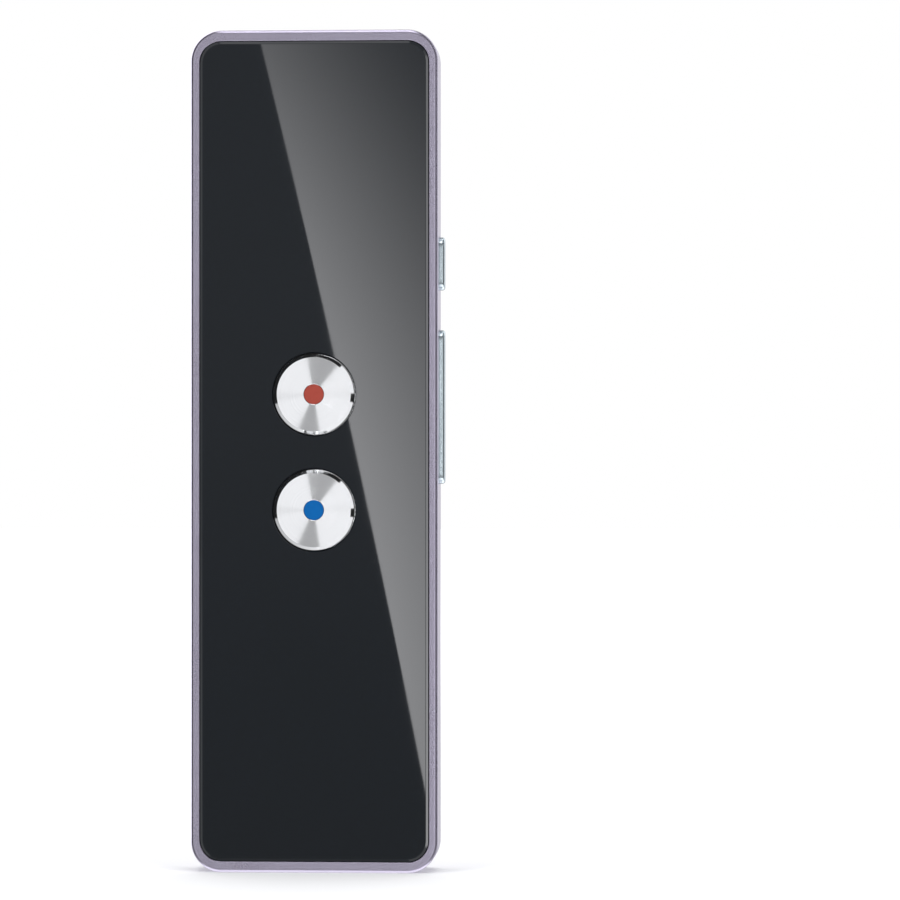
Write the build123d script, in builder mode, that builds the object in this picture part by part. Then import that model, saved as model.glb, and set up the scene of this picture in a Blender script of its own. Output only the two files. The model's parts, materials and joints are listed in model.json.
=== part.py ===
from build123d import *
from math import radians, sqrt, tan
import os

# Handheld voice translator, standing upright on its bottom end. Millimetres.
# +X is the right-hand side with the side keys, -Y the front with the glossy panel, +Z the top.
# The origin is the centre of the bottom end, half way between the front rim and the back.

# ---- body ----
body_width = 41.8
body_height = 142.0
body_depth = 11.5
corner_radius = 5.2
side_wall = 1.5
end_wall = 1.8
back_wall = 1.2
back_edge_radius = 3.6
front_edge_radius = 0.65

# ---- front panel, its adhesive film and the mid frame behind them ----
panel_gap = 0.1
panel_thickness = 1.0
panel_edge_chamfer = 0.15
panel_hole_chamfer = 0.12
adhesive_thickness = 0.2
adhesive_margin = 0.8
frame_gap = 0.1
frame_thickness = 1.2
skirt_thickness = 0.9

# ---- case screws in the bosses of the rear shell ----
boss_radius = 2.1
boss_side_gap = 1.4
boss_end_gap = 3.9
boss_below_speaker = 5.6
boss_rib_thickness = 0.8
rib_to_frame_skirt = 0.3
case_screw_radius = 0.8
case_screw_head_radius = 1.5
case_screw_head_height = 0.7
case_screw_length = 5.0
screw_fit = 0.02
screw_tip_room = 0.6

# ---- main board ----
standoff_height = 1.45
board_thickness = 1.0
board_side_gap = 2.1
board_end_gap = 0.7
board_below_speaker = 3.7
board_corner_radius = 1.0
board_boss_gap = 0.4
board_parts_room = 1.25
solder_gap = 0.05

# ---- board screws ----
standoff_radius = 1.5
board_screw_radius = 0.7
board_screw_head_radius = 1.2
board_screw_head_height = 0.7
board_screw_length = 2.2
board_screw_side = 3.3
board_screw_low_z = 16.0
board_screw_top_inset = 4.5
board_screw_top_side = 6.8
rest_post_radius = 1.2
board_ear_width = 6.0
board_ear_margin = 0.8

# ---- stiffening ribs on the back of the mid frame ----
frame_rib_thickness = 0.8
frame_rib_height = 1.0
frame_rib_side = 9.0
frame_rib_low_z = 12.0
frame_rib_bays = 4
frame_rib_key_gap = 2.5
speaker_ring_height = 1.2

# ---- speaker ----
speaker_below_top = 24.3
speaker_radius = 14.0
speaker_fit = 0.2
speaker_rib_thickness = 0.9
speaker_rib_span = 11.0
speaker_rib_height = 2.6
gasket_thickness = 0.5
gasket_width = 1.3
rim_width = 2.0
rim_thickness = 0.8
basket_wall = 0.6
basket_taper = 0.8
basket_depth = 2.4
basket_vents = 8
basket_vent_width = 3.2
film_thickness = 0.15
groove_radius = 8.0
groove_gap = 0.1
groove_depth = 1.1
dome_rise = 1.05
roll_rise = 0.2
coil_radius = 7.15
coil_wall = 0.4
coil_length = 1.8
yoke_radius = 9.0
yoke_wall = 0.8
yoke_floor = 0.6
yoke_depth = 2.1
magnet_radius = 6.1
magnet_thickness = 1.2
pole_radius = 6.3
pole_thickness = 0.5
post_radius = 0.8
terminal_radius = 0.5
terminal_thickness = 0.2

# ---- sound holes in the back ----
grille_count = 10
grille_pitch = 2.88
grille_hole_radius = 0.575

# ---- round keys on the front ----
red_key_below_top = 61.4
key_pitch = 19.5
key_radius = 6.75
key_face_radius = 6.25
key_edge_height = 0.5
key_proud = 0.6
key_hole_radius = 7.0
key_guide_gap = 0.12
key_travel = 0.4
key_face_thickness = 1.1
key_skirt_thickness = 0.85
key_flange_width = 1.05
key_flange_thickness = 0.7
key_seat_gap = 0.05
stem_radius = 1.4
dot_radius = 1.7
dot_thickness = 0.6
dot_depth = 0.1
dot_fit = 0.02
locating_pin_radius = 0.5
locating_pin_gap = 0.15
locating_pin_height = 1.2

# ---- tact switches under the round keys ----
tact_size = 5.2
tact_height = 0.8
tact_floor = 0.1
tact_plunger_radius = 1.05
tact_plunger_gap = 0.1
tact_plunger_spare = 0.05

# ---- side keys ----
side_key_width = 3.4
side_key_proud = 1.0
side_key_edge_radius = 0.5
side_key_slot_gap = 0.15
side_key_ear = 0.35
side_key_ear_gap = 0.1
side_key_ear_thickness = 0.7
power_key_below_top = 39.3
power_key_length = 9.0
power_key_end_ear = 0.8
power_key_nub_radius = 0.9
power_key_nub_height = 0.3
volume_key_below_top = 63.5
volume_key_length = 26.0
volume_ear_length = 6.0
saddle_length = 3.2
saddle_depth = 0.8
pivot_radius = 0.8
pivot_gap = 0.05
pivot_post_width = 0.7

# ---- side switches, sunk into the board's right-hand edge ----
side_switch_width = 3.5
side_switch_depth = 2.8
side_switch_height = 1.6
side_switch_notch_gap = 0.1
side_switch_overhang = 0.2
side_switch_cover = 0.2
side_switch_cover_width = 1.6
side_switch_lap = 0.5
side_plunger_width = 1.5
side_plunger_height = 0.8
side_plunger_gap = 0.08
side_plunger_inside = 0.7
side_plunger_room = 0.6
volume_switch_spacing = 18.0

# ---- battery ----
battery_side_gap = 2.4
battery_bottom_z = 13.0
battery_length = 50.0
battery_edge_radius = 1.6
terrace_length = 3.6
terrace_thickness = 1.1
tape_thickness = 0.2
tape_margin = 3.0
protection_length = 3.0
protection_thickness = 0.9
protection_side_inset = 2.0
battery_rib_gap = 0.3
battery_rib_thickness = 0.8
battery_rib_height = 1.6
battery_rib_length = 8.0
battery_rib_inset = 3.0

# ---- USB socket and microphone in the bottom end ----
usb_width = 7.5
usb_height = 2.5
usb_depth = 5.0
usb_corner = 1.0
usb_wall = 0.3
usb_recess = 0.6
usb_gap = 0.25
usb_tongue_width = 4.2
usb_tongue_thickness = 0.6
usb_tongue_recess = 0.5
usb_block_depth = 1.2
usb_contact_count = 5
usb_contact_pitch = 0.65
usb_contact_width = 0.35
usb_contact_thickness = 0.1
microphone_x = 11.0
microphone_radius = 1.5
microphone_thickness = 1.3
microphone_boot_wall = 0.4
microphone_board_gap = 0.1
microphone_hole_radius = 0.5

# ---- leads: pairs of soft wires, and the microphone's two stiff legs ----
lead_diameter = 0.8
lead_pitch = 1.2
lead_slope = 60.0
lead_arc_share = 0.45
battery_lead_x = 10.0
battery_lead_end_run = 3.2
speaker_lead_x = 7.0
speaker_lead_screw_gap = 0.4
speaker_lead_over_edge = 0.5
microphone_leg_diameter = 0.36
microphone_leg_side = 0.6
microphone_leg_rise = 1.9
microphone_leg_inset = 0.7

# ---- small parts on the back of the board ----
chip_gap = 1.5
processor_size = 7.0
processor_thickness = 0.9
processor_below_top = 24.5
memory_width = 6.0
memory_length = 5.0
memory_thickness = 0.8
memory_below_top = 17.0
crystal_width = 3.2
crystal_length = 2.5
crystal_thickness = 0.7
amplifier_size = 4.0
amplifier_thickness = 0.8
amplifier_x = 5.0
inductor_size = 4.0
inductor_thickness = 2.0
inductor_x = -2.5
power_parts_below_top = 10.0
antenna_width = 5.0
antenna_length = 2.0
antenna_thickness = 1.0
antenna_x = -9.5
antenna_edge_gap = 0.5
charger_size = 3.0
charger_thickness = 0.9
charger_x = 6.5
charger_above_usb = 1.5
battery_socket_width = 4.2
battery_socket_length = 3.4
battery_socket_thickness = 1.6
passive_width = 0.8
passive_length = 1.6
passive_thickness = 0.7
passive_pitch = 2.4
passive_columns = 5
passive_rows = 2
passive_grid_below_top = 17.5
passive_row_below_top = 31.5

# ---- depths, from the front rim to the back ----
front_y = -body_depth / 2
back_y = body_depth / 2
panel_back_y = front_y + panel_thickness
frame_front_y = panel_back_y + adhesive_thickness
frame_back_y = frame_front_y + frame_thickness
board_front_y = frame_back_y + standoff_height
board_back_y = board_front_y + board_thickness
inner_back_y = back_y - back_wall
battery_back_y = inner_back_y - tape_thickness
battery_front_y = board_back_y + board_parts_room
battery_thickness = battery_back_y - battery_front_y
battery_width = 2 * (body_width / 2 - side_wall - battery_side_gap)
battery_top_z = battery_bottom_z + battery_length
pouch_length = battery_length - terrace_length
cavity_edge_radius = back_edge_radius - side_wall

# ---- places across the width and up the height ----
inner_side_x = body_width / 2 - side_wall
frame_side_x = inner_side_x - frame_gap
board_side_x = inner_side_x - board_side_gap
boss_x = inner_side_x - boss_side_gap - boss_radius
low_boss_z = end_wall + boss_end_gap + boss_radius
high_boss_z = body_height - low_boss_z
speaker_z = body_height - speaker_below_top
mid_boss_z = speaker_z - speaker_radius - boss_below_speaker - boss_radius
boss_points = [(side * boss_x, z) for side in (-1, 1) for z in (low_boss_z, mid_boss_z, high_boss_z)]
red_key_z = body_height - red_key_below_top
blue_key_z = red_key_z - key_pitch
power_key_z = body_height - power_key_below_top
volume_key_z = body_height - volume_key_below_top
volume_switch_zs = (
    volume_key_z - volume_switch_spacing / 2,
    volume_key_z + volume_switch_spacing / 2,
)
board_low_z = end_wall + board_end_gap
board_high_z = speaker_z - speaker_radius - board_below_speaker
board_screw_points = [
    (side * x, z)
    for side in (-1, 1)
    for x, z in (
        (board_side_x - board_screw_side, board_screw_low_z),
        (board_side_x - board_screw_top_side, board_high_z - board_screw_top_inset),
    )
]
board_ear_top_z = power_key_z + side_switch_width / 2 + side_switch_lap + board_ear_margin
rest_post_z = (red_key_z + blue_key_z) / 2
rest_post_points = [(side * (board_side_x - board_screw_top_side), rest_post_z) for side in (-1, 1)]

# ---- round keys, from their front face to the switch ----
key_front_y = front_y - key_proud
key_flange_front_y = frame_back_y + key_seat_gap
key_flange_back_y = key_flange_front_y + key_flange_thickness
key_inner_radius = key_radius - key_skirt_thickness
key_flange_radius = key_radius + key_flange_width
tact_front_y = board_front_y - tact_height
tact_plunger_proud = key_travel + tact_plunger_spare
tact_plunger_inside = tact_height - tact_floor - key_travel - tact_plunger_spare
stem_back_y = tact_front_y - tact_plunger_proud

# ---- side keys, from their outer face to the switches ----
side_key_y = frame_back_y + side_key_ear_gap + side_key_ear + side_key_width / 2
side_key_outer_x = body_width / 2 + side_key_proud
side_key_ear_x = inner_side_x - side_key_ear_gap
side_key_inner_x = side_key_ear_x - side_key_ear_thickness
side_switch_outer_x = board_side_x + side_switch_overhang
pivot_x = side_key_inner_x - pivot_radius - pivot_gap

# ---- speaker, from the back wall to its magnet ----
gasket_front_y = inner_back_y - gasket_thickness
rim_back_y = gasket_front_y - film_thickness
rim_front_y = rim_back_y - rim_thickness
basket_floor_y = rim_back_y - basket_depth
rim_inner_radius = speaker_radius - rim_width
groove_y = rim_back_y - groove_depth
yoke_back_y = basket_floor_y + basket_wall / 2
yoke_front_y = yoke_back_y - yoke_depth
magnet_front_y = yoke_front_y + yoke_floor
pole_front_y = magnet_front_y + magnet_thickness

# ---- sound holes: a square grid without its four corners ----
grille_edges = (0, grille_count - 1)
grille_middle = (grille_count - 1) / 2
grille_points = [
    ((column - grille_middle) * grille_pitch, speaker_z + (row - grille_middle) * grille_pitch)
    for row in range(grille_count)
    for column in range(grille_count)
    if not (row in grille_edges and column in grille_edges)
]

usb_y = board_back_y + solder_gap
microphone_y = board_back_y + microphone_board_gap + microphone_radius + microphone_boot_wall


def across(depth):
    """A plane across the body: local x is +X, local y is +Z, and it faces the front."""
    return Plane(origin=(0, depth, 0), x_dir=(1, 0, 0), z_dir=(0, -1, 0))


def along_wall(x):
    """A plane along the right-hand wall: local x is +Y, local y is +Z, and it faces outwards."""
    return Plane(origin=(x, 0, 0), x_dir=(0, 1, 0), z_dir=(1, 0, 0))


def body_outline():
    """The body's rounded outline."""
    with Locations((0, body_height / 2)):
        RectangleRounded(body_width, body_height, corner_radius)


def inner_outline(gap, mode=Mode.ADD):
    """The rounded outline between the walls, drawn a gap inside them."""
    with Locations((0, body_height / 2)):
        RectangleRounded(
            body_width - 2 * (side_wall + gap),
            body_height - 2 * (end_wall + gap),
            corner_radius - side_wall - gap,
            mode=mode,
        )


def side_key_outline(length, gap):
    """A side key's round-ended outline, or the slot that clears it."""
    SlotOverall(length + 2 * gap, side_key_width + 2 * gap, rotation=90)


def usb_outline(grow, mode=Mode.ADD):
    """The socket's outline from the board outwards, with two bevelled corners beside the board."""
    half, low, high = usb_width / 2 + grow, -grow, usb_height + grow
    Polygon(
        (usb_corner - half, low),
        (half - usb_corner, low),
        (half, low + usb_corner),
        (half, high),
        (-half, high),
        (-half, low + usb_corner),
        align=None,
        mode=mode,
    )


def turned(points, centre_z):
    """A closed profile of (radius, depth) points, turned about the front-to-back axis at a height."""
    with BuildSketch(Plane.XY.offset(centre_z)) as profile:
        Polygon(*points, align=None)
    revolve(profile.sketch, axis=Axis((0, 0, centre_z), (0, 1, 0)))


def lead(x, points, diameter):
    """A wire in a plane square to +X: straight runs through (y, z) points, joined by tangent arcs."""
    corners = [Vector(*point) for point in points]
    runs = [after - before for before, after in zip(corners, corners[1:])]
    radii = [
        lead_arc_share * min(one.length, two.length) / tan(radians(one.get_angle(two) / 2))
        for one, two in zip(runs, runs[1:])
    ]
    with BuildLine(along_wall(x)) as path:
        FilletPolyline(*points, radius=radii)
    start = path.line @ 0
    with BuildSketch(Plane(origin=start, z_dir=path.line % 0)) as section:
        Circle(diameter / 2)
    sweep(section.sketch, path=path.line)


# ---- rear shell: the moulded tray that forms the sides, the ends and the back ----
os.makedirs("parts", exist_ok=True)

with BuildPart() as rear_shell:
    with BuildSketch(across(back_y)):
        body_outline()
    extrude(amount=body_depth)
    fillet(rear_shell.faces().sort_by(Axis.Y)[-1].edges(), back_edge_radius)
    fillet(rear_shell.faces().sort_by(Axis.Y)[0].edges(), front_edge_radius)
    with BuildSketch(across(inner_back_y)):
        inner_outline(0)
    extrude(amount=inner_back_y - front_y, mode=Mode.SUBTRACT)
    cavity_floor = rear_shell.faces().filter_by(Axis.Y).sort_by(Axis.Y)[-2]
    fillet(cavity_floor.edges(), cavity_edge_radius)
    # screw bosses, each tied to the side wall by a rib
    with BuildSketch(across(inner_back_y)):
        with Locations(*boss_points):
            Circle(boss_radius)
    extrude(amount=inner_back_y - frame_back_y)
    rib_length = boss_side_gap + boss_radius + side_wall / 2
    with BuildSketch(across(inner_back_y)):
        with Locations(*[(x + (1 if x > 0 else -1) * rib_length / 2, z) for x, z in boss_points]):
            Rectangle(rib_length, boss_rib_thickness)
    extrude(amount=inner_back_y - board_front_y - rib_to_frame_skirt)
    with BuildSketch(across(frame_back_y)):
        with Locations(*boss_points):
            Circle(case_screw_radius + screw_fit)
    extrude(amount=frame_thickness - case_screw_length - screw_tip_room, mode=Mode.SUBTRACT)
    # four curved ribs that hold the speaker's rim
    with BuildSketch(across(inner_back_y)):
        with Locations((0, speaker_z)):
            speaker_rib_radius = speaker_radius + speaker_fit + speaker_rib_thickness
            Rectangle(2 * speaker_rib_radius, speaker_rib_span)
            Rectangle(speaker_rib_span, 2 * speaker_rib_radius)
            Circle(speaker_rib_radius, mode=Mode.INTERSECT)
            Circle(speaker_radius + speaker_fit, mode=Mode.SUBTRACT)
    extrude(amount=speaker_rib_height)
    # low ribs that keep the battery in its place: one at each end of its sides, two below it
    rib_side_x = battery_width / 2 + battery_rib_gap + battery_rib_thickness / 2
    rib_below_z = battery_bottom_z - battery_rib_gap - battery_rib_thickness / 2
    rib_from_end = battery_rib_inset + battery_rib_length / 2
    with BuildSketch(across(inner_back_y)):
        for side in (-1, 1):
            with Locations(
                (side * rib_side_x, battery_bottom_z + rib_from_end),
                (side * rib_side_x, battery_bottom_z + pouch_length - rib_from_end),
            ):
                Rectangle(battery_rib_thickness, battery_rib_length)
            with Locations((side * (battery_width / 2 - rib_from_end), rib_below_z)):
                Rectangle(battery_rib_length, battery_rib_thickness)
    extrude(amount=battery_rib_height)
    # sound holes
    with BuildSketch(across(back_y)):
        with Locations(*grille_points):
            Circle(grille_hole_radius)
    extrude(amount=back_wall, mode=Mode.SUBTRACT)
    # slots for the side keys
    with BuildSketch(along_wall(inner_side_x)):
        with Locations((side_key_y, power_key_z)):
            side_key_outline(power_key_length, side_key_slot_gap)
        with Locations((side_key_y, volume_key_z)):
            side_key_outline(volume_key_length, side_key_slot_gap)
    extrude(amount=side_wall, mode=Mode.SUBTRACT)
    # mouths of the USB socket and the microphone in the bottom end
    with BuildSketch(Plane.XY):
        with Locations((0, usb_y)):
            usb_outline(usb_gap)
        with Locations((microphone_x, microphone_y)):
            Circle(microphone_hole_radius)
    extrude(amount=end_wall, mode=Mode.SUBTRACT)
rear_shell.part.label = "rear_shell"
export_step(rear_shell.part, "parts/rear_shell.step")

# ---- mid frame: closes the shell behind the panel and carries the board ----
with BuildPart() as mid_frame:
    with BuildSketch(across(frame_back_y)):
        inner_outline(frame_gap)
    extrude(amount=frame_thickness)
    # skirt round the edge, left out where the side keys sit
    gap_low_z = volume_key_z - volume_key_length / 2 - side_key_slot_gap - power_key_end_ear
    gap_high_z = power_key_z + power_key_length / 2 + side_key_slot_gap + power_key_end_ear
    with BuildSketch(across(board_front_y)):
        inner_outline(frame_gap)
        inner_outline(frame_gap + skirt_thickness, mode=Mode.SUBTRACT)
        with Locations((frame_side_x, (gap_low_z + gap_high_z) / 2)):
            Rectangle(3 * skirt_thickness, gap_high_z - gap_low_z, mode=Mode.SUBTRACT)
    extrude(amount=standoff_height)
    # standoffs for the board's screws and two plain posts beside the keys
    with BuildSketch(across(board_front_y)):
        with Locations(*board_screw_points):
            Circle(standoff_radius)
            Circle(board_screw_radius + screw_fit, mode=Mode.SUBTRACT)
        with Locations(*rest_post_points):
            Circle(rest_post_radius)
    extrude(amount=standoff_height)
    # a ladder of ribs below the keys, and a ring behind the speaker
    ladder_high_z = blue_key_z - key_flange_radius - frame_rib_key_gap
    ladder_length = ladder_high_z - frame_rib_low_z
    with BuildSketch(across(frame_back_y + frame_rib_height)):
        for side in (-1, 1):
            with Locations((side * frame_rib_side, frame_rib_low_z + ladder_length / 2)):
                Rectangle(frame_rib_thickness, ladder_length)
        for rung in range(frame_rib_bays + 1):
            with Locations((0, frame_rib_low_z + rung * ladder_length / frame_rib_bays)):
                Rectangle(2 * frame_rib_side + frame_rib_thickness, frame_rib_thickness)
    extrude(amount=frame_rib_height)
    post_ring = speaker_radius - rim_width / 2
    with BuildSketch(across(frame_back_y + speaker_ring_height)):
        with Locations((0, speaker_z)):
            Circle(post_ring + frame_rib_thickness / 2)
            Circle(post_ring - frame_rib_thickness / 2, mode=Mode.SUBTRACT)
    extrude(amount=speaker_ring_height)
    # posts that press the speaker's rim against its gasket
    with BuildSketch(across(rim_front_y)):
        with Locations((0, speaker_z)):
            with PolarLocations(post_ring, 4, start_angle=45):
                Circle(post_radius)
    extrude(amount=rim_front_y - frame_back_y)
    # round nose that the volume key rocks on
    with BuildSketch(across(board_back_y)):
        with Locations((pivot_x, volume_key_z)):
            Circle(pivot_radius)
        with Locations((pivot_x - pivot_post_width / 2, volume_key_z)):
            Rectangle(pivot_post_width, 2 * pivot_radius)
    extrude(amount=board_back_y - frame_back_y)
    # holes for the round keys, with two locating pins each
    with BuildSketch(across(frame_back_y)):
        with Locations((0, red_key_z), (0, blue_key_z)):
            Circle(key_radius + key_guide_gap)
    extrude(amount=frame_thickness, mode=Mode.SUBTRACT)
    with BuildSketch(across(frame_back_y + locating_pin_height)):
        with Locations((0, red_key_z), (0, blue_key_z)):
            with PolarLocations(key_flange_radius, 2):
                Circle(locating_pin_radius)
    extrude(amount=locating_pin_height)
    # countersunk holes for the case screws
    with Locations(across(frame_front_y)):
        with Locations(*boss_points):
            CounterSinkHole(
                radius=case_screw_radius + screw_fit,
                counter_sink_radius=case_screw_head_radius + screw_fit,
                depth=frame_thickness,
                counter_sink_angle=90,
            )
mid_frame.part.label = "mid_frame"
export_step(mid_frame.part, "parts/mid_frame.step")

# ---- front panel: glossy sheet, flush with the shell's rim ----
with BuildPart() as front_panel:
    with BuildSketch(across(panel_back_y)):
        inner_outline(panel_gap)
        with Locations((0, red_key_z), (0, blue_key_z)):
            Circle(key_hole_radius, mode=Mode.SUBTRACT)
    extrude(amount=panel_thickness)
    panel_face = front_panel.faces().sort_by(Axis.Y)[0]
    chamfer(panel_face.outer_wire().edges(), panel_edge_chamfer)
    panel_face = front_panel.faces().sort_by(Axis.Y)[0]
    chamfer(panel_face.inner_wires().edges(), panel_hole_chamfer)
front_panel.part.label = "front_panel"
export_step(front_panel.part, "parts/front_panel.step")

with BuildPart() as panel_adhesive:
    with BuildSketch(across(frame_front_y)):
        inner_outline(panel_gap + adhesive_margin)
        with Locations((0, red_key_z), (0, blue_key_z)):
            Circle(key_hole_radius + adhesive_margin, mode=Mode.SUBTRACT)
    extrude(amount=adhesive_thickness)
panel_adhesive.part.label = "panel_adhesive"
export_step(panel_adhesive.part, "parts/panel_adhesive.step")

# ---- case screws: countersunk, from the frame into the shell's bosses ----
with BuildPart() as case_screws:
    with Locations(across(frame_front_y)):
        with Locations(*boss_points):
            Cone(
                bottom_radius=case_screw_radius,
                top_radius=case_screw_head_radius,
                height=case_screw_head_height,
                align=(Align.CENTER, Align.CENTER, Align.MAX),
            )
            Cylinder(
                radius=case_screw_radius,
                height=case_screw_length,
                align=(Align.CENTER, Align.CENTER, Align.MAX),
            )
case_screws.part.label = "case_screws"
export_step(case_screws.part, "parts/case_screws.step")

# ---- main board, notched round the bosses and for the side switches ----
with BuildPart() as main_board:
    with BuildSketch(across(board_back_y)):
        with Locations((0, (board_low_z + board_high_z) / 2)):
            RectangleRounded(2 * board_side_x, board_high_z - board_low_z, board_corner_radius)
        # an ear beside the speaker carries the power key's switch
        ear_low_z = board_high_z - 2 * board_corner_radius
        with Locations((board_side_x - board_ear_width / 2, (ear_low_z + board_ear_top_z) / 2)):
            RectangleRounded(board_ear_width, board_ear_top_z - ear_low_z, board_corner_radius)
        with Locations(*boss_points):
            Circle(boss_radius + board_boss_gap, mode=Mode.SUBTRACT)
        with Locations(*board_screw_points):
            Circle(board_screw_radius + board_boss_gap / 2, mode=Mode.SUBTRACT)
        notch_depth = side_switch_depth - side_switch_overhang + side_switch_notch_gap
        notch_width = side_switch_width + 2 * side_switch_notch_gap
        for switch_z in (power_key_z, *volume_switch_zs):
            with Locations((board_side_x, switch_z)):
                Rectangle(2 * notch_depth, notch_width, mode=Mode.SUBTRACT)
        pivot_notch_depth = board_side_x - pivot_x + pivot_radius + board_boss_gap
        with Locations((board_side_x, volume_key_z)):
            Rectangle(
                2 * pivot_notch_depth,
                2 * (pivot_radius + board_boss_gap),
                mode=Mode.SUBTRACT,
            )
    extrude(amount=board_thickness)
main_board.part.label = "main_board"
export_step(main_board.part, "parts/main_board.step")

with BuildPart() as board_screws:
    with Locations(across(board_back_y)):
        with Locations(*board_screw_points):
            Cylinder(
                radius=board_screw_head_radius,
                height=board_screw_head_height,
                align=(Align.CENTER, Align.CENTER, Align.MAX),
            )
            Cylinder(
                radius=board_screw_radius,
                height=board_screw_length,
                align=(Align.CENTER, Align.CENTER, Align.MIN),
            )
board_screws.part.label = "board_screws"
export_step(board_screws.part, "parts/board_screws.step")

# ---- round keys: turned metal caps, held behind the frame by a flange ----
for colour, key_z in (("red", red_key_z), ("blue", blue_key_z)):
    with BuildPart() as key_cap:
        recess_y = key_front_y + dot_depth + dot_thickness + dot_fit
        recess_radius = dot_radius + dot_fit
        turned(
            [
                (0, recess_y),
                (recess_radius, recess_y),
                (recess_radius, key_front_y),
                (key_face_radius, key_front_y),
                (key_radius, key_front_y + key_edge_height),
                (key_radius, key_flange_front_y),
                (key_flange_radius, key_flange_front_y),
                (key_flange_radius, key_flange_back_y),
                (key_inner_radius, key_flange_back_y),
                (key_inner_radius, key_front_y + key_face_thickness),
                (stem_radius, key_front_y + key_face_thickness),
                (stem_radius, stem_back_y),
                (0, stem_back_y),
            ],
            key_z,
        )
        # notches that the frame's locating pins run in
        with BuildSketch(across(key_flange_back_y)):
            with Locations((0, key_z)):
                with PolarLocations(key_flange_radius, 2):
                    Circle(locating_pin_radius + locating_pin_gap)
        extrude(amount=key_flange_thickness, mode=Mode.SUBTRACT)
    key_cap.part.label = f"{colour}_key_cap"
    export_step(key_cap.part, f"parts/{colour}_key_cap.step")

    with BuildPart() as key_dot:
        with BuildSketch(across(key_front_y + dot_depth + dot_thickness)):
            with Locations((0, key_z)):
                Circle(dot_radius)
        extrude(amount=dot_thickness)
    key_dot.part.label = f"{colour}_key_dot"
    export_step(key_dot.part, f"parts/{colour}_key_dot.step")

    with BuildPart() as key_switch:
        with BuildSketch(across(board_front_y)):
            with Locations((0, key_z)):
                Rectangle(tact_size, tact_size)
        extrude(amount=tact_height)
        with BuildSketch(across(board_front_y - tact_floor)):
            with Locations((0, key_z)):
                Circle(tact_plunger_radius + tact_plunger_gap)
        extrude(amount=tact_height - tact_floor, mode=Mode.SUBTRACT)
    key_switch.part.label = f"{colour}_key_switch"
    export_step(key_switch.part, f"parts/{colour}_key_switch.step")

    with BuildPart() as key_plunger:
        with BuildSketch(across(tact_front_y + tact_plunger_inside)):
            with Locations((0, key_z)):
                Circle(tact_plunger_radius)
        extrude(amount=tact_plunger_inside + tact_plunger_proud)
    key_plunger.part.label = f"{colour}_key_plunger"
    export_step(key_plunger.part, f"parts/{colour}_key_plunger.step")

# ---- power key: pressed straight in, with a flange that keeps it in the wall ----
with BuildPart() as power_key:
    with BuildSketch(along_wall(side_key_ear_x)):
        with Locations((side_key_y, power_key_z)):
            side_key_outline(power_key_length, 0)
    extrude(amount=side_key_outer_x - side_key_ear_x)
    fillet(power_key.faces().sort_by(Axis.X)[-1].edges(), side_key_edge_radius)
    with BuildSketch(along_wall(side_key_inner_x)):
        with Locations((side_key_y, power_key_z)):
            Rectangle(side_key_width + 2 * side_key_ear, power_key_length + 2 * power_key_end_ear)
    extrude(amount=side_key_ear_thickness)
    with BuildSketch(along_wall(side_key_inner_x - power_key_nub_height)):
        with Locations((side_key_y, power_key_z)):
            Circle(power_key_nub_radius)
    extrude(amount=power_key_nub_height)
power_key.part.label = "power_key"
export_step(power_key.part, "parts/power_key.step")

# ---- volume key: rocks on the frame's round nose ----
with BuildPart() as volume_key:
    with BuildSketch(along_wall(side_key_inner_x)):
        with Locations((side_key_y, volume_key_z)):
            side_key_outline(volume_key_length, 0)
    extrude(amount=side_key_outer_x - side_key_inner_x)
    fillet(volume_key.faces().sort_by(Axis.X)[-1].edges(), side_key_edge_radius)
    # lugs at the middle, where the key hardly moves, keep it in the wall
    with BuildSketch(along_wall(side_key_inner_x)):
        with Locations((side_key_y, volume_key_z)):
            Rectangle(side_key_width + 2 * side_key_ear, volume_ear_length)
    extrude(amount=side_key_ear_thickness)
    # saddle round the nose
    with BuildSketch(along_wall(side_key_inner_x - saddle_depth)):
        with Locations((side_key_y, volume_key_z)):
            Rectangle(side_key_width, saddle_length)
    extrude(amount=saddle_depth)
    with BuildSketch(across(side_key_y + side_key_width / 2 + side_key_ear)):
        with Locations((pivot_x, volume_key_z)):
            Circle(pivot_radius + pivot_gap)
        with Locations((pivot_x - pivot_radius, volume_key_z)):
            Rectangle(2 * pivot_radius, 2 * (pivot_radius + pivot_gap))
    extrude(amount=side_key_width + 2 * side_key_ear, mode=Mode.SUBTRACT)
volume_key.part.label = "volume_key"
export_step(volume_key.part, "parts/volume_key.step")


def side_switch(switch_z):
    """A side-push switch sunk into the board's edge, hung from it by a thin steel cover."""
    with BuildSketch(along_wall(side_switch_outer_x)) as block:
        with Locations((side_key_y, switch_z)):
            Rectangle(side_switch_height, side_switch_width)
    extrude(block.sketch, amount=-side_switch_depth)
    with BuildSketch(across(board_front_y)) as cover:
        with Locations((board_side_x - side_switch_lap - side_switch_cover_width / 2, switch_z)):
            Rectangle(side_switch_cover_width, side_switch_width + 2 * side_switch_lap)
    extrude(cover.sketch, amount=side_switch_cover)
    with BuildSketch(along_wall(side_switch_outer_x)) as well:
        with Locations((side_key_y, switch_z)):
            Rectangle(
                side_plunger_height + 2 * side_plunger_gap,
                side_plunger_width + 2 * side_plunger_gap,
            )
    extrude(well.sketch, amount=-side_plunger_inside - side_plunger_room, mode=Mode.SUBTRACT)


def side_plunger(switch_z, tip_x):
    """A side switch's plunger, from inside the switch to the key that presses it."""
    with BuildSketch(along_wall(side_switch_outer_x - side_plunger_inside)) as rod:
        with Locations((side_key_y, switch_z)):
            Rectangle(side_plunger_height, side_plunger_width)
    extrude(rod.sketch, amount=tip_x - side_switch_outer_x + side_plunger_inside)


with BuildPart() as power_switch:
    side_switch(power_key_z)
power_switch.part.label = "power_switch"
export_step(power_switch.part, "parts/power_switch.step")

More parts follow.
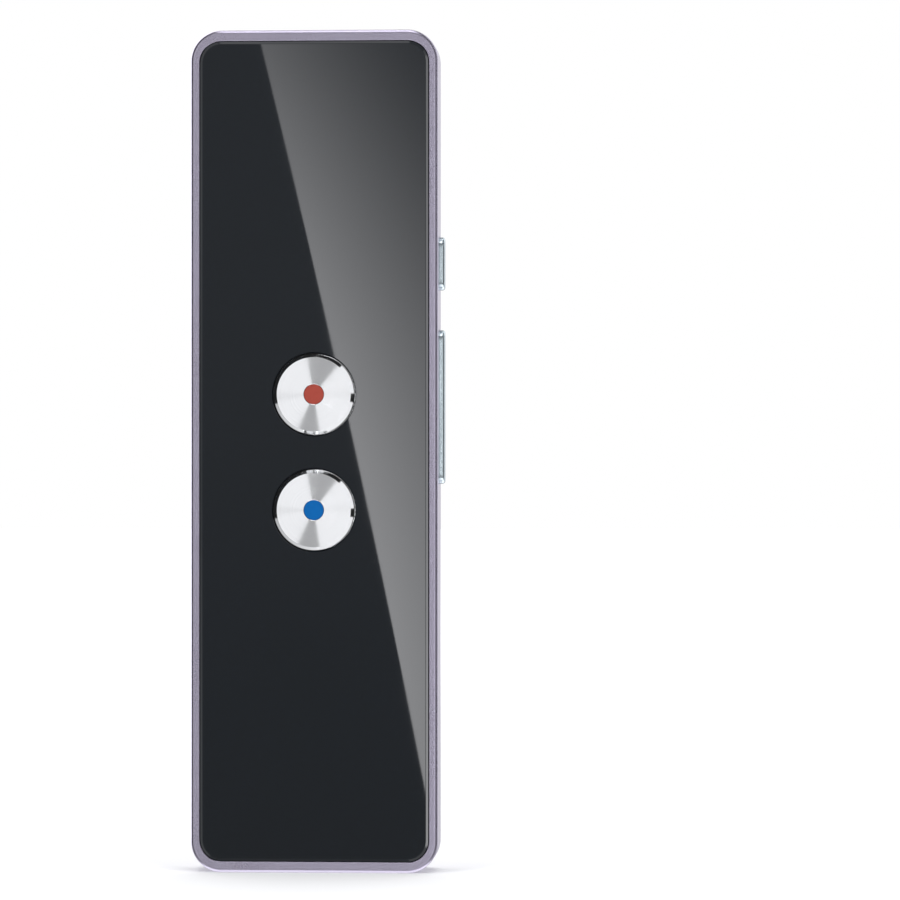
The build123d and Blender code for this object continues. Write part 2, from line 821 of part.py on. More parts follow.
with BuildPart() as power_plunger:
    side_plunger(power_key_z, side_key_inner_x - power_key_nub_height)
power_plunger.part.label = "power_plunger"
export_step(power_plunger.part, "parts/power_plunger.step")

with BuildPart() as volume_switches:
    for switch_z in volume_switch_zs:
        side_switch(switch_z)
volume_switches.part.label = "volume_switches"
export_step(volume_switches.part, "parts/volume_switches.step")

with BuildPart() as volume_plungers:
    for switch_z in volume_switch_zs:
        side_plunger(switch_z, side_key_inner_x)
volume_plungers.part.label = "volume_plungers"
export_step(volume_plungers.part, "parts/volume_plungers.step")

# ---- speaker: basket, magnet system, film diaphragm and gasket ----
with BuildPart() as speaker_gasket:
    with BuildSketch(across(inner_back_y)):
        with Locations((0, speaker_z)):
            Circle(speaker_radius)
            Circle(speaker_radius - gasket_width, mode=Mode.SUBTRACT)
    extrude(amount=gasket_thickness)
speaker_gasket.part.label = "speaker_gasket"
export_step(speaker_gasket.part, "parts/speaker_gasket.step")

with BuildPart() as speaker_basket:
    turned(
        [
            (rim_inner_radius - basket_wall, rim_back_y),
            (speaker_radius, rim_back_y),
            (speaker_radius, rim_front_y),
            (rim_inner_radius, rim_front_y),
            (rim_inner_radius - basket_taper, basket_floor_y),
            (yoke_radius, basket_floor_y),
            (yoke_radius, basket_floor_y + basket_wall),
            (rim_inner_radius - basket_wall - basket_taper, basket_floor_y + basket_wall),
        ],
        speaker_z,
    )
    # vents through the sloping wall
    vent_ring = rim_inner_radius - (basket_wall + basket_taper) / 2
    with BuildSketch(across(rim_front_y)):
        with Locations((0, speaker_z)):
            with PolarLocations(vent_ring, basket_vents):
                Rectangle(2 * basket_wall + basket_taper, basket_vent_width)
    extrude(amount=rim_front_y - basket_floor_y - basket_wall, mode=Mode.SUBTRACT)
speaker_basket.part.label = "speaker_basket"
export_step(speaker_basket.part, "parts/speaker_basket.step")

with BuildPart() as speaker_yoke:
    turned(
        [
            (0, yoke_front_y),
            (yoke_radius, yoke_front_y),
            (yoke_radius, yoke_back_y + basket_wall / 2),
            (yoke_radius - yoke_wall, yoke_back_y + basket_wall / 2),
            (yoke_radius - yoke_wall, magnet_front_y),
            (0, magnet_front_y),
        ],
        speaker_z,
    )
speaker_yoke.part.label = "speaker_yoke"
export_step(speaker_yoke.part, "parts/speaker_yoke.step")

with BuildPart() as speaker_magnet:
    with BuildSketch(across(pole_front_y)):
        with Locations((0, speaker_z)):
            Circle(magnet_radius)
    extrude(amount=magnet_thickness)
speaker_magnet.part.label = "speaker_magnet"
export_step(speaker_magnet.part, "parts/speaker_magnet.step")

with BuildPart() as speaker_pole_plate:
    with BuildSketch(across(pole_front_y + pole_thickness)):
        with Locations((0, speaker_z)):
            Circle(pole_radius)
    extrude(amount=pole_thickness)
speaker_pole_plate.part.label = "speaker_pole_plate"
export_step(speaker_pole_plate.part, "parts/speaker_pole_plate.step")

with BuildPart() as speaker_coil:
    with BuildSketch(across(groove_y)):
        with Locations((0, speaker_z)):
            Circle(coil_radius)
            Circle(coil_radius - coil_wall, mode=Mode.SUBTRACT)
    extrude(amount=coil_length)
speaker_coil.part.label = "speaker_coil"
export_step(speaker_coil.part, "parts/speaker_coil.step")

with BuildPart() as speaker_dome:
    dome_edge = coil_radius - coil_wall
    lip_radius = groove_radius - groove_gap
    with BuildSketch(Plane.XY.offset(speaker_z)):
        with BuildLine():
            outer = TangentArc(
                (0, groove_y + film_thickness + dome_rise),
                (dome_edge, groove_y + film_thickness),
                tangent=(1, 0),
            )
            Polyline(
                outer @ 1,
                (lip_radius, groove_y + film_thickness),
                (lip_radius, groove_y),
                (dome_edge, groove_y),
            )
            inner = TangentArc((0, groove_y + dome_rise), (dome_edge, groove_y), tangent=(1, 0))
            Line(inner @ 0, outer @ 0)
        make_face()
    revolve(axis=Axis((0, 0, speaker_z), (0, 1, 0)))
speaker_dome.part.label = "speaker_dome"
export_step(speaker_dome.part, "parts/speaker_dome.step")

with BuildPart() as speaker_surround:
    roll_edge = speaker_radius - gasket_width
    with BuildSketch(Plane.XY.offset(speaker_z)):
        with BuildLine():
            over = ThreePointArc(
                (groove_radius, groove_y + film_thickness),
                ((groove_radius + roll_edge) / 2, gasket_front_y + roll_rise),
                (roll_edge, gasket_front_y),
            )
            Polyline(
                over @ 1,
                (speaker_radius, gasket_front_y),
                (speaker_radius, rim_back_y),
                (roll_edge, rim_back_y),
            )
            under = ThreePointArc(
                (roll_edge, rim_back_y),
                ((groove_radius + roll_edge) / 2, rim_back_y + roll_rise),
                (groove_radius, groove_y),
            )
            Line(under @ 1, over @ 0)
        make_face()
    revolve(axis=Axis((0, 0, speaker_z), (0, 1, 0)))
speaker_surround.part.label = "speaker_surround"
export_step(speaker_surround.part, "parts/speaker_surround.step")

speaker_lead_xs = (speaker_lead_x - lead_pitch / 2, speaker_lead_x + lead_pitch / 2)
terminal_points = [(x, speaker_z - sqrt(post_ring**2 - x**2)) for x in speaker_lead_xs]

with BuildPart() as speaker_terminals:
    with BuildSketch(across(rim_front_y)):
        with Locations(*terminal_points):
            Circle(terminal_radius)
    extrude(amount=terminal_thickness)
speaker_terminals.part.label = "speaker_terminals"
export_step(speaker_terminals.part, "parts/speaker_terminals.step")

with BuildPart() as speaker_leads:
    low_y = board_back_y + lead_diameter / 2
    high_y = rim_front_y - terminal_thickness - lead_diameter / 2
    screw_top_z = board_high_z - board_screw_top_inset + board_screw_head_radius
    slope_start_z = board_high_z - speaker_lead_over_edge
    slope_end_z = slope_start_z + (high_y - low_y) / tan(radians(lead_slope))
    for x, terminal_z in terminal_points:
        lead(
            x,
            [
                (low_y, screw_top_z + speaker_lead_screw_gap),
                (low_y, slope_start_z),
                (high_y, slope_end_z),
                (high_y, terminal_z),
            ],
            lead_diameter,
        )
speaker_leads.part.label = "speaker_leads"
export_step(speaker_leads.part, "parts/speaker_leads.step")

# ---- battery: a pouch cell taped to the back wall ----
with BuildPart() as battery_cell:
    with BuildSketch(across(battery_back_y)):
        with Locations((0, battery_bottom_z + pouch_length / 2)):
            Rectangle(battery_width, pouch_length)
    extrude(amount=battery_thickness)
    fillet(battery_cell.edges().filter_by(Axis.Z), battery_edge_radius)
    with BuildSketch(across(battery_back_y)):
        with Locations((0, battery_top_z - terrace_length / 2)):
            Rectangle(battery_width - 2 * battery_edge_radius, terrace_length)
    extrude(amount=terrace_thickness)
battery_cell.part.label = "battery_cell"
export_step(battery_cell.part, "parts/battery_cell.step")

with BuildPart() as battery_tape:
    with BuildSketch(across(inner_back_y)):
        with Locations((0, battery_bottom_z + pouch_length / 2)):
            Rectangle(battery_width - 2 * tape_margin, pouch_length - 2 * tape_margin)
    extrude(amount=tape_thickness)
battery_tape.part.label = "battery_tape"
export_step(battery_tape.part, "parts/battery_tape.step")

with BuildPart() as battery_protection_board:
    terrace_width = battery_width - 2 * battery_edge_radius
    with BuildSketch(across(battery_back_y - terrace_thickness)):
        with Locations((0, battery_top_z - terrace_length / 2)):
            Rectangle(terrace_width - 2 * protection_side_inset, protection_length)
    extrude(amount=protection_thickness)
battery_protection_board.part.label = "battery_protection_board"
export_step(battery_protection_board.part, "parts/battery_protection_board.step")

with BuildPart() as battery_leads:
    high_y = battery_back_y - terrace_thickness - protection_thickness / 2
    low_y = board_back_y + battery_socket_thickness / 2
    lead_start_z = battery_top_z - terrace_length / 2 + protection_length / 2
    slope_start_z = lead_start_z + battery_lead_end_run
    slope_end_z = slope_start_z + (high_y - low_y) / tan(radians(lead_slope))
    battery_socket_low_z = slope_end_z + battery_lead_end_run
    for x in (battery_lead_x - lead_pitch / 2, battery_lead_x + lead_pitch / 2):
        lead(
            x,
            [
                (high_y, lead_start_z),
                (high_y, slope_start_z),
                (low_y, slope_end_z),
                (low_y, battery_socket_low_z),
            ],
            lead_diameter,
        )
battery_leads.part.label = "battery_leads"
export_step(battery_leads.part, "parts/battery_leads.step")

# ---- USB socket: a folded steel shell round a moulded block with its contact tongue ----
with BuildPart() as usb_shell:
    with BuildSketch(Plane.XY.offset(usb_recess)):
        with Locations((0, usb_y)):
            usb_outline(0)
            usb_outline(-usb_wall, mode=Mode.SUBTRACT)
    extrude(amount=usb_depth)
usb_shell.part.label = "usb_shell"
export_step(usb_shell.part, "parts/usb_shell.step")

with BuildPart() as usb_tongue:
    block_low_z = usb_recess + usb_depth - usb_block_depth
    with BuildSketch(Plane.XY.offset(block_low_z)):
        with Locations((0, usb_y)):
            usb_outline(-usb_wall)
    extrude(amount=usb_block_depth)
    with BuildSketch(Plane.XY.offset(usb_recess + usb_tongue_recess)):
        with Locations((0, usb_y + usb_height / 2)):
            Rectangle(usb_tongue_width, usb_tongue_thickness)
    extrude(amount=usb_depth - usb_tongue_recess - usb_block_depth)
usb_tongue.part.label = "usb_tongue"
export_step(usb_tongue.part, "parts/usb_tongue.step")

with BuildPart() as usb_contacts:
    contact_depth = usb_depth - usb_tongue_recess - usb_block_depth
    contact_y = usb_y + (usb_height + usb_tongue_thickness + usb_contact_thickness) / 2
    with BuildSketch(Plane.XY.offset(usb_recess + usb_tongue_recess)):
        with Locations((0, contact_y)):
            with GridLocations(usb_contact_pitch, usb_contact_thickness, usb_contact_count, 1):
                Rectangle(usb_contact_width, usb_contact_thickness)
    extrude(amount=contact_depth)
usb_contacts.part.label = "usb_contacts"
export_step(usb_contacts.part, "parts/usb_contacts.step")

# ---- microphone: a small capsule in a rubber boot behind its hole ----
with BuildPart() as microphone_boot:
    with BuildSketch(Plane.XY.offset(end_wall)):
        with Locations((microphone_x, microphone_y)):
            Circle(microphone_radius + microphone_boot_wall)
    extrude(amount=microphone_boot_wall + microphone_thickness)
    chamfer(microphone_boot.edges().sort_by(Axis.Z)[0], microphone_boot_wall)
    with BuildSketch(Plane.XY.offset(end_wall)):
        with Locations((microphone_x, microphone_y)):
            Circle(microphone_hole_radius)
    extrude(amount=microphone_boot_wall, mode=Mode.SUBTRACT)
    with BuildSketch(Plane.XY.offset(end_wall + microphone_boot_wall)):
        with Locations((microphone_x, microphone_y)):
            Circle(microphone_radius)
    extrude(amount=microphone_thickness, mode=Mode.SUBTRACT)
microphone_boot.part.label = "microphone_boot"
export_step(microphone_boot.part, "parts/microphone_boot.step")

with BuildPart() as microphone_capsule:
    with BuildSketch(Plane.XY.offset(end_wall + microphone_boot_wall)):
        with Locations((microphone_x, microphone_y)):
            Circle(microphone_radius)
    extrude(amount=microphone_thickness)
microphone_capsule.part.label = "microphone_capsule"
export_step(microphone_capsule.part, "parts/microphone_capsule.step")

with BuildPart() as microphone_leads:
    leg_y = microphone_y - microphone_leg_inset
    leg_low_z = end_wall + microphone_boot_wall + microphone_thickness
    leg_high_z = leg_low_z + microphone_leg_rise
    for side in (-1, 1):
        lead(
            microphone_x + side * microphone_leg_side,
            [(leg_y, leg_low_z), (leg_y, leg_high_z), (board_back_y, leg_high_z)],
            microphone_leg_diameter,
        )
microphone_leads.part.label = "microphone_leads"
export_step(microphone_leads.part, "parts/microphone_leads.step")

# ---- parts on the back of the board: place, size and thickness ----
processor_z = board_high_z - processor_below_top
beside_processor = processor_size / 2 + chip_gap
beside_passives = (passive_pitch * (passive_columns - 1) + passive_width) / 2 + chip_gap
power_parts_z = board_high_z - power_parts_below_top
charger_z = usb_recess + usb_depth + charger_above_usb + charger_size / 2
board_parts = {
    "processor": (0, processor_z, processor_size, processor_size, processor_thickness),
    "memory_chip": (
        -beside_passives - memory_width / 2,
        board_high_z - memory_below_top,
        memory_width,
        memory_length,
        memory_thickness,
    ),
    "crystal": (
        beside_processor + crystal_width / 2,
        processor_z,
        crystal_width,
        crystal_length,
        crystal_thickness,
    ),
    "amplifier_chip": (
        amplifier_x,
        power_parts_z,
        amplifier_size,
        amplifier_size,
        amplifier_thickness,
    ),
    "power_inductor": (
        inductor_x,
        power_parts_z,
        inductor_size,
        inductor_size,
        inductor_thickness,
    ),
    "antenna_chip": (
        antenna_x,
        board_high_z - antenna_edge_gap - antenna_length / 2,
        antenna_width,
        antenna_length,
        antenna_thickness,
    ),
    "charger_chip": (charger_x, charger_z, charger_size, charger_size, charger_thickness),
    "battery_socket": (
        battery_lead_x,
        battery_socket_low_z + battery_socket_length / 2,
        battery_socket_width,
        battery_socket_length,
        battery_socket_thickness,
    ),
}
for name, (x, z, width, length, thickness) in board_parts.items():
    with BuildPart() as board_part:
        with BuildSketch(across(board_back_y)):
            with Locations((x, z)):
                Rectangle(width, length)
        extrude(amount=-thickness)
    board_part.part.label = name
    export_step(board_part.part, f"parts/{name}.step")

# ---- resistors and capacitors in rows above and below the processor ----
with BuildPart() as board_passives:
    with BuildSketch(across(board_back_y)):
        with Locations((0, board_high_z - passive_grid_below_top)):
            with GridLocations(passive_pitch, passive_pitch, passive_columns, passive_rows):
                Rectangle(passive_width, passive_length)
        with Locations((0, board_high_z - passive_row_below_top)):
            with GridLocations(passive_pitch, passive_pitch, passive_columns, 1):
                Rectangle(passive_width, passive_length)
    extrude(amount=-passive_thickness)
board_passives.part.label = "board_passives"
export_step(board_passives.part, "parts/board_passives.step")
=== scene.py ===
# %% [markdown]
# # Dressing a handheld translator
# The solids of this translator are already packed in one frame: every piece at its real size and
# place, in metres, with +Z up, +X towards the side keys and -Y out of the glossy front. This
# lesson adds what solids can't say: smooth shells, polished edges, spun metal, and a studio to
# show them in. The solids stay where they are, and a finished skin takes a solid's place only
# where the solid can be seen.

# %% Load the frame
import json
import math

import bmesh
import bpy
from mathutils import Matrix, Vector


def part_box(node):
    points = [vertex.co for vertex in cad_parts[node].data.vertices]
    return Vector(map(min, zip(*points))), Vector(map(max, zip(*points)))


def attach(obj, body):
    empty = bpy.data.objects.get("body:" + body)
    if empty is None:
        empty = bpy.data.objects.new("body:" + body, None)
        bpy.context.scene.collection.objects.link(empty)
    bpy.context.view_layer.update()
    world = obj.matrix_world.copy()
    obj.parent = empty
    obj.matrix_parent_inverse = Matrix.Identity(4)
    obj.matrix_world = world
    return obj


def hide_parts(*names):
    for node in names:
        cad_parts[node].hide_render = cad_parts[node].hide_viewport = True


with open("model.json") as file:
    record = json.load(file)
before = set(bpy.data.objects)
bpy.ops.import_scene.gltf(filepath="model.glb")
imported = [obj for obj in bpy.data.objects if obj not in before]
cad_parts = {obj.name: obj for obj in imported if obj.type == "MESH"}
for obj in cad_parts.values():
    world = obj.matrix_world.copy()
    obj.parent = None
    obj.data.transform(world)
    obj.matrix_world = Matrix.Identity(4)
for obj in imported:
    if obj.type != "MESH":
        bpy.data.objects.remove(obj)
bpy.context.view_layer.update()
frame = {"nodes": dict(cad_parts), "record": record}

mm = 0.001

# %% [markdown]
# ## Shader maths as plain sums
# A material is a graph of nodes, but most of it is arithmetic. Wired by hand, one Math node at a
# time, it could hardly be read afterwards. This small class wraps a socket instead, so that
# `1 - mask * 0.5` builds its Math nodes. Every other node, in any kind of tree, comes from its one
# method `node`, which takes the node's type, its settings and its inputs.

# %% A socket that can be added and multiplied
class Wire:
    """A socket in a node tree, or just the tree when there is no socket yet."""

    def __init__(self, tree, socket=None):
        self.tree = tree
        self.socket = socket

    def node(self, kind, settings=None, inputs=None, output=0):
        """Adds a node and returns a wire on one of its outputs. A list feeds a joining socket."""
        made = self.tree.nodes.new(kind)
        for name, value in (settings or {}).items():
            setattr(made, name, value)
        for key, value in (inputs or {}).items():
            for one in value if isinstance(value, list) else [value]:
                if isinstance(one, Wire):
                    self.tree.links.new(one.socket, made.inputs[key])
                else:
                    made.inputs[key].default_value = one
        return Wire(self.tree, made.outputs[output] if made.outputs else None)

    def outputs(self):
        """Wires on all the outputs of this wire's node."""
        return [Wire(self.tree, socket) for socket in self.socket.node.outputs]

    def math(self, operation, *others):
        values = dict(enumerate((self, *others)))
        return self.node("ShaderNodeMath", {"operation": operation}, values)

    def vector(self, operation, *others, output=0):
        values = dict(enumerate((self, *others)))
        return self.node("ShaderNodeVectorMath", {"operation": operation}, values, output)

    def parts(self):
        """The x, y and z of a vector."""
        return self.node("ShaderNodeSeparateXYZ", inputs={0: self}).outputs()

    def __add__(self, other):
        return self.math("ADD", other)

    def __mul__(self, other):
        return self.math("MULTIPLY", other)

    def __sub__(self, other):
        return self.math("SUBTRACT", other)

    def __rsub__(self, other):
        return self.node("ShaderNodeMath", {"operation": "SUBTRACT"}, {0: other, 1: self})

    def __truediv__(self, other):
        return self.math("DIVIDE", other)

    __radd__ = __add__
    __rmul__ = __mul__

    def between(self, low, high, start=0.0, end=1.0):
        """Start below low, end above high, and a smooth step from one to the other."""
        values = {"Value": self, "From Min": low, "From Max": high, "To Min": start, "To Max": end}
        return self.node("ShaderNodeMapRange", {"interpolation_type": "SMOOTHSTEP"}, values)

    def below(self, low, high):
        """1 below low, 0 above high."""
        return self.between(low, high, 1.0, 0.0)

    def inside(self, low, high, soft):
        """1 between low and high, 0 outside, with soft edges."""
        return self.between(low - soft, low + soft) * self.below(high - soft, high + soft)


print("shader maths ready")

# %% [markdown]
# ## What a finish starts from
# Each finish is one Principled shader, because other programs understand that best. One helper
# makes the material and hands over the wires that a pattern needs, and another joins what comes
# back. Patterns read Object coordinates, which are metres here, so a noise with 10,000 cells to
# the metre means grains a tenth of a millimetre wide.

# %% Helpers for finishes
def linear(red, green, blue):
    """A colour picked on screen, 0 to 255, as linear light."""
    return tuple(
        c / 12.92 if c <= 0.04045 else ((c + 0.055) / 1.055) ** 2.4
        for c in (red / 255, green / 255, blue / 255)
    )


def new_finish(name):
    """An empty material: returns it, a wire on its tree and its object coordinates."""
    material = bpy.data.materials.new(name)
    material.use_nodes = True
    material.node_tree.nodes.clear()
    tree = Wire(material.node_tree)
    return material, tree, tree.node("ShaderNodeTexCoord", output="Object")


def principled(tree, colour, roughness, metallic=0.0, normal=None, **extra):
    """Ends a material in one Principled shader."""
    inputs = {
        "Base Color": colour if isinstance(colour, Wire) else (*colour, 1.0),
        "Roughness": roughness,
        "Metallic": metallic,
    }
    inputs.update({key.replace("_", " "): value for key, value in extra.items()})
    if normal is not None:
        inputs["Normal"] = normal
    shader = tree.node("ShaderNodeBsdfPrincipled", inputs=inputs)
    tree.node("ShaderNodeOutputMaterial", inputs={"Surface": shader})


def mix_colours(factor, first, second):
    """A colour between two others. A colour is a wire or three linear numbers."""
    full = [c if isinstance(c, Wire) else (*c, 1.0) for c in (first, second)]
    return factor.node(
        "ShaderNodeMix",
        {"data_type": "RGBA"},
        {"Factor": factor, "A": full[0], "B": full[1]},
        output=2,
    )


def noise(place, cells, detail=2.0):
    """Noise from 0 to 1 over a place, with so many cells to the metre."""
    values = {"Vector": place, "Scale": cells, "Detail": detail, "Roughness": 0.5}
    return place.node("ShaderNodeTexNoise", {"noise_dimensions": "3D"}, values)


def spread(pattern, low, high):
    """Stretches the middle of a noise, where most of it lies, over a range."""
    return pattern.between(0.3, 0.7, low, high)


def bump(height, depth):
    """A normal from a height of 0 to 1 that stands for a depth in metres."""
    values = {"Strength": 1.0, "Distance": depth, "Height": height}
    return height.node("ShaderNodeBump", inputs=values)


print("finish helpers ready, mid grey in linear light is", round(linear(128, 128, 128)[0], 3))

# %% [markdown]
# ## The satin shell
# The rear shell is aluminium, bead-blasted and dyed a dusty lavender. Blasting leaves pits about a
# tenth of a millimetre across, which break a reflection into a soft sparkle. Roughness alone would
# look as smooth as plastic, so two noises make it: a fine one for the pits, and a coarse one that
# keeps the roughness from being the same everywhere, as it never is on a real anodised part.

# %% Satin lavender metal
lavender = (0.385, 0.358, 0.446)
pale_lavender = tuple(c * 1.02 for c in lavender)
pit_depth = 0.006 * mm


def satin_lavender():
    material, tree, place = new_finish("satin_lavender")
    pits = noise(place, cells=9000, detail=1.0)
    clouds = noise(place, cells=60)
    colour = mix_colours(clouds.between(0.35, 0.65), lavender, pale_lavender)
    roughness = spread(clouds, 0.255, 0.265) + pits * 0.04
    principled(tree, colour, roughness, 1.0, bump(pits, pit_depth))
    return material


shell_finish = satin_lavender()
print("finish:", shell_finish.name, "with", len(shell_finish.node_tree.nodes), "nodes")

# %% [markdown]
# ## The black front and the round keys
# The front is a clear hard sheet painted black behind, so all that shows is a sharp reflection. A
# faint waviness and a trace of dust in the roughness keep it from looking like a hole.
# The round keys are turned on a lathe: fine rings round the centre spread a reflection outwards
# only, which draws the bright and dark wedges of spun metal. The rings are far finer than a pixel,
# and an anisotropic shader needs tangents that other programs don't read. So the shader tilts the
# normal to and fro along the radius. Beyond the face come the polished edge and a dull flange,
# told apart by their radius. The flange is painted near black: painted shade for the gap round the
# key, the only place where it shows.

# %% Glossy black and spun metal
sheet_wave_depth = 0.0003 * mm
groove_width = 0.01 * mm
face_blend = 0.02 * mm
flange_blend = 0.05 * mm
# near black for the flange: painted shade for the gap round the key, not the metal's own colour
gap_shade_colour = (0.05, 0.05, 0.052)


def black_gloss():
    material, tree, place = new_finish("black_gloss")
    waves = noise(place, cells=40)
    dust = noise(place, cells=2500)
    roughness = spread(waves, 0.004, 0.012) + dust.between(0.68, 0.8, 0.0, 0.02)
    colour = mix_colours(waves, (0.003, 0.005, 0.007), (0.004, 0.006, 0.009))
    principled(tree, colour, roughness, 0.0, bump(waves, sheet_wave_depth), IOR=1.52)
    return material


def spun_metal(name, centre_z, face_radius, flange_radius, least_tilt=0.1, most_tilt=0.38):
    """Turned metal about a front-to-back axis: grooved face, polished edge, flange painted as
    shade.
    """
    material, tree, place = new_finish(name)
    x, _, z = place.parts()
    up = z - centre_z
    radius = (x * x + up * up).math("SQRT")
    groove = (radius / groove_width).math("FLOOR")
    one_line = {"noise_dimensions": "1D"}
    cut = tree.node("ShaderNodeTexWhiteNoise", one_line, {"W": groove}, "Value")
    swell_inputs = {"W": radius, "Scale": 4000, "Detail": 2.0, "Roughness": 0.6}
    swell = tree.node("ShaderNodeTexNoise", one_line, swell_inputs)
    on_face = radius.below(face_radius - face_blend, face_radius)
    on_flange = radius.between(flange_radius, flange_radius + flange_blend)

    tilt = least_tilt + (cut * 0.8 + swell * 0.2) * (most_tilt - least_tilt)
    tilt = tilt * on_face / radius
    outwards = tree.node("ShaderNodeCombineXYZ", inputs={0: x * tilt, 2: up * tilt})
    flat = tree.node("ShaderNodeNewGeometry", output="Normal")
    normal = flat.vector("ADD", outwards).vector("NORMALIZE")

    roughness = on_face * 0.04 + on_flange * 0.4 + spread(noise(place, cells=300), 0.07, 0.1)
    colour = mix_colours(swell, (0.79, 0.8, 0.81), (0.87, 0.88, 0.89))
    # the flange is painted near black: painted shade in the gap round the key
    colour = mix_colours(on_flange, colour, gap_shade_colour)
    principled(tree, colour, roughness, 1.0, normal)
    return material


sheet_finish = black_gloss()
print("finish:", sheet_finish.name, "with", len(sheet_finish.node_tree.nodes), "nodes")

# %% [markdown]
# ## Bright keys and enamel dots
# The side keys are brushed along their length and plated. Noise squeezed along one axis turns its
# cells into long scratches, which a Mapping node does with one number. The dots on the round keys
# are satin enamel: nearly flat, with a fine orange peel and hardly any shine.

# %% Bright trim and enamel
brush_stretch = 0.03
brush_depth = 0.001 * mm
peel_depth = 0.004 * mm


def bright_trim():
    material, tree, place = new_finish("bright_trim")
    squeezed = {"Vector": place, "Scale": (1.0, 1.0, brush_stretch)}
    scratches = noise(place.node("ShaderNodeMapping", inputs=squeezed), cells=8000)
    colour = mix_colours(scratches, (0.42, 0.48, 0.51), (0.48, 0.55, 0.58))
    principled(tree, colour, spread(scratches, 0.12, 0.2), 1.0, bump(scratches, brush_depth))
    return material


def enamel(name, colour):
    material, tree, place = new_finish(name)
    peel = noise(place, cells=1500)
    deep = tuple(c * 0.85 for c in colour)
    mixed = mix_colours(peel, deep, colour)
    relief = bump(peel, peel_depth)
    principled(tree, mixed, spread(peel, 0.3, 0.4), 0.0, relief, Specular_IOR_Level=0.12)
    return material


trim_finish = bright_trim()
print("finish:", trim_finish.name, "with", len(trim_finish.node_tree.nodes), "nodes")

# %% [markdown]
# ## Plain finishes for the inner pieces
# Through the sound holes, the key slots and the charging mouth a little of the inside shows. The
# inner pieces keep their solids and only get a finish each. One function covers moulded, rolled
# and pressed stuff, because they differ in colour, grain and gloss alone. The board with its
# tracks and the leads, in pairs of one red and one black, have patterns of their own.

# %% Recipes for inner finishes
def grained(name, colour, roughness=0.5, metallic=0.0, grain=3000, depth=0.004, shift=0.12):
    """A plain finish: noise shifts its colour and roughness and dents it, by a depth in mm."""
    material, tree, place = new_finish(name)
    grains = noise(place, grain, detail=3.0)
    pale = tuple(min(1.0, c * (1 + shift)) for c in colour)
    deep = tuple(c * (1 - shift) for c in colour)
    mixed = mix_colours(grains, deep, pale)
    shine = spread(grains, roughness - 0.05, roughness + 0.05)
    principled(tree, mixed, shine, metallic, bump(grains, depth * mm))
    return material


def board_finish(track_step=0.9 * mm, track_depth=0.02 * mm):
    """Green solder mask with the faint raised lines of copper tracks under it."""
    material, tree, place = new_finish("board_green")
    x, _, z = place.parts()
    tracks = (x / track_step + noise(place, cells=120, detail=0.0) * 2.0).math("FRACT")
    rows = (z / track_step + noise(place, cells=150, detail=0.0) * 2.0).math("FRACT")
    raised = tracks.between(0.3, 0.36).math("MAXIMUM", rows.between(0.64, 0.7))
    colour = mix_colours(raised, (0.012, 0.10, 0.04), (0.02, 0.15, 0.06))
    principled(tree, colour, raised.between(0, 1, 0.35, 0.28), 0.0, bump(raised, track_depth))
    return material


def paired_sleeve(middle_x, blend=0.01 * mm):
    """Lead insulation: red on one side of a plane, black on the other."""
    material, tree, place = new_finish("lead_sleeve")
    side = place.parts()[0].between(middle_x - blend, middle_x + blend)
    grains = noise(place, cells=2000)
    colour = mix_colours(side, (0.45, 0.02, 0.015), (0.012, 0.012, 0.013))
    principled(tree, colour, spread(grains, 0.4, 0.5), 0.0, bump(grains, 0.004 * mm))
    return material


print("recipes: grained, board_finish and paired_sleeve")

# %% [markdown]
# ## Giving each inner piece its finish
# The record of the solids says which finish each piece has, so one table of recipes is all it
# takes. A row lists the colour, roughness, metallic share, grains to the metre, their depth in
# millimetres and the shift in colour, and stops where the usual values do.

# %% Fill the table and paint the solids
leads_middle_x = 8.5 * mm
recipes = {
    "dark_plastic": ((0.02, 0.02, 0.022),),
    "adhesive_film": ((0.03, 0.03, 0.032), 0.35),
    "steel": ((0.55, 0.56, 0.57), 0.3, 1.0, 5000, 0.001, 0.06),
    "soft_foam": ((0.02, 0.02, 0.02), 0.9, 0.0, 4000, 0.05),
    "magnet_plate": ((0.5, 0.5, 0.5), 0.25, 1.0, 4000, 0.001),
    "copper_wire": ((0.75, 0.33, 0.13), 0.3, 1.0, 6000, 0.01),
    "film_grey": ((0.42, 0.41, 0.46), 0.38, 0.75, 1500, 0.003, 0.08),
    "pouch_foil": ((0.6, 0.6, 0.62), 0.3, 0.9, 500, 0.06, 0.05),
    "white_plastic": ((0.7, 0.69, 0.64), 0.45),
    "soft_rubber": ((0.018, 0.018, 0.018), 0.75),
    "chip_black": ((0.022, 0.022, 0.024), 0.55, 0.0, 9000),
    "ferrite": ((0.06, 0.06, 0.065), 0.6, 0.0, 6000),
    "solder_gold": ((0.8, 0.58, 0.25), 0.25, 1.0, 4000, 0.001),
    "ceramic_tan": ((0.42, 0.3, 0.2),),
}
inner_finishes = {name: grained(name, *recipe) for name, recipe in recipes.items()}
inner_finishes["board_green"] = board_finish()
inner_finishes["lead_sleeve"] = paired_sleeve(leads_middle_x)
finish_of = {part["node"]: part["material_slot"] for part in frame["record"]["subparts"]}
painted_nodes = 0
for name, node in frame["nodes"].items():
    finish = inner_finishes.get(finish_of[name])
    if finish:
        node.data.materials.clear()
        node.data.materials.append(finish)
        painted_nodes += 1
print("inner finishes:", len(inner_finishes), "on", painted_nodes, "solids")

# %% [markdown]
# ## Closed forms from rings
# The shell, the panel and the side keys share one habit: an outline, set in or out a little at
# each depth. They could be extruded and bevelled by modifiers, but the width of each round would
# depend on its neighbours. Here rings of points are lofted into a surface instead. Every ring of
# an outline has the same number of points, so two neighbours join in clean quads. Beside each
# bend a support point, a twentieth of a millimetre away, keeps the flats flat in smooth shading.

# %% Points on outlines
arc_steps = 24
support = 0.05 * mm


def bend(centre, radius, start, end, steps):
    """Points on an arc, from one angle to another in degrees."""
    turns = [math.radians(start + (end - start) * i / steps) for i in range(steps + 1)]
    return [(centre[0] + radius * math.cos(a), centre[1] + radius * math.sin(a)) for a in turns]


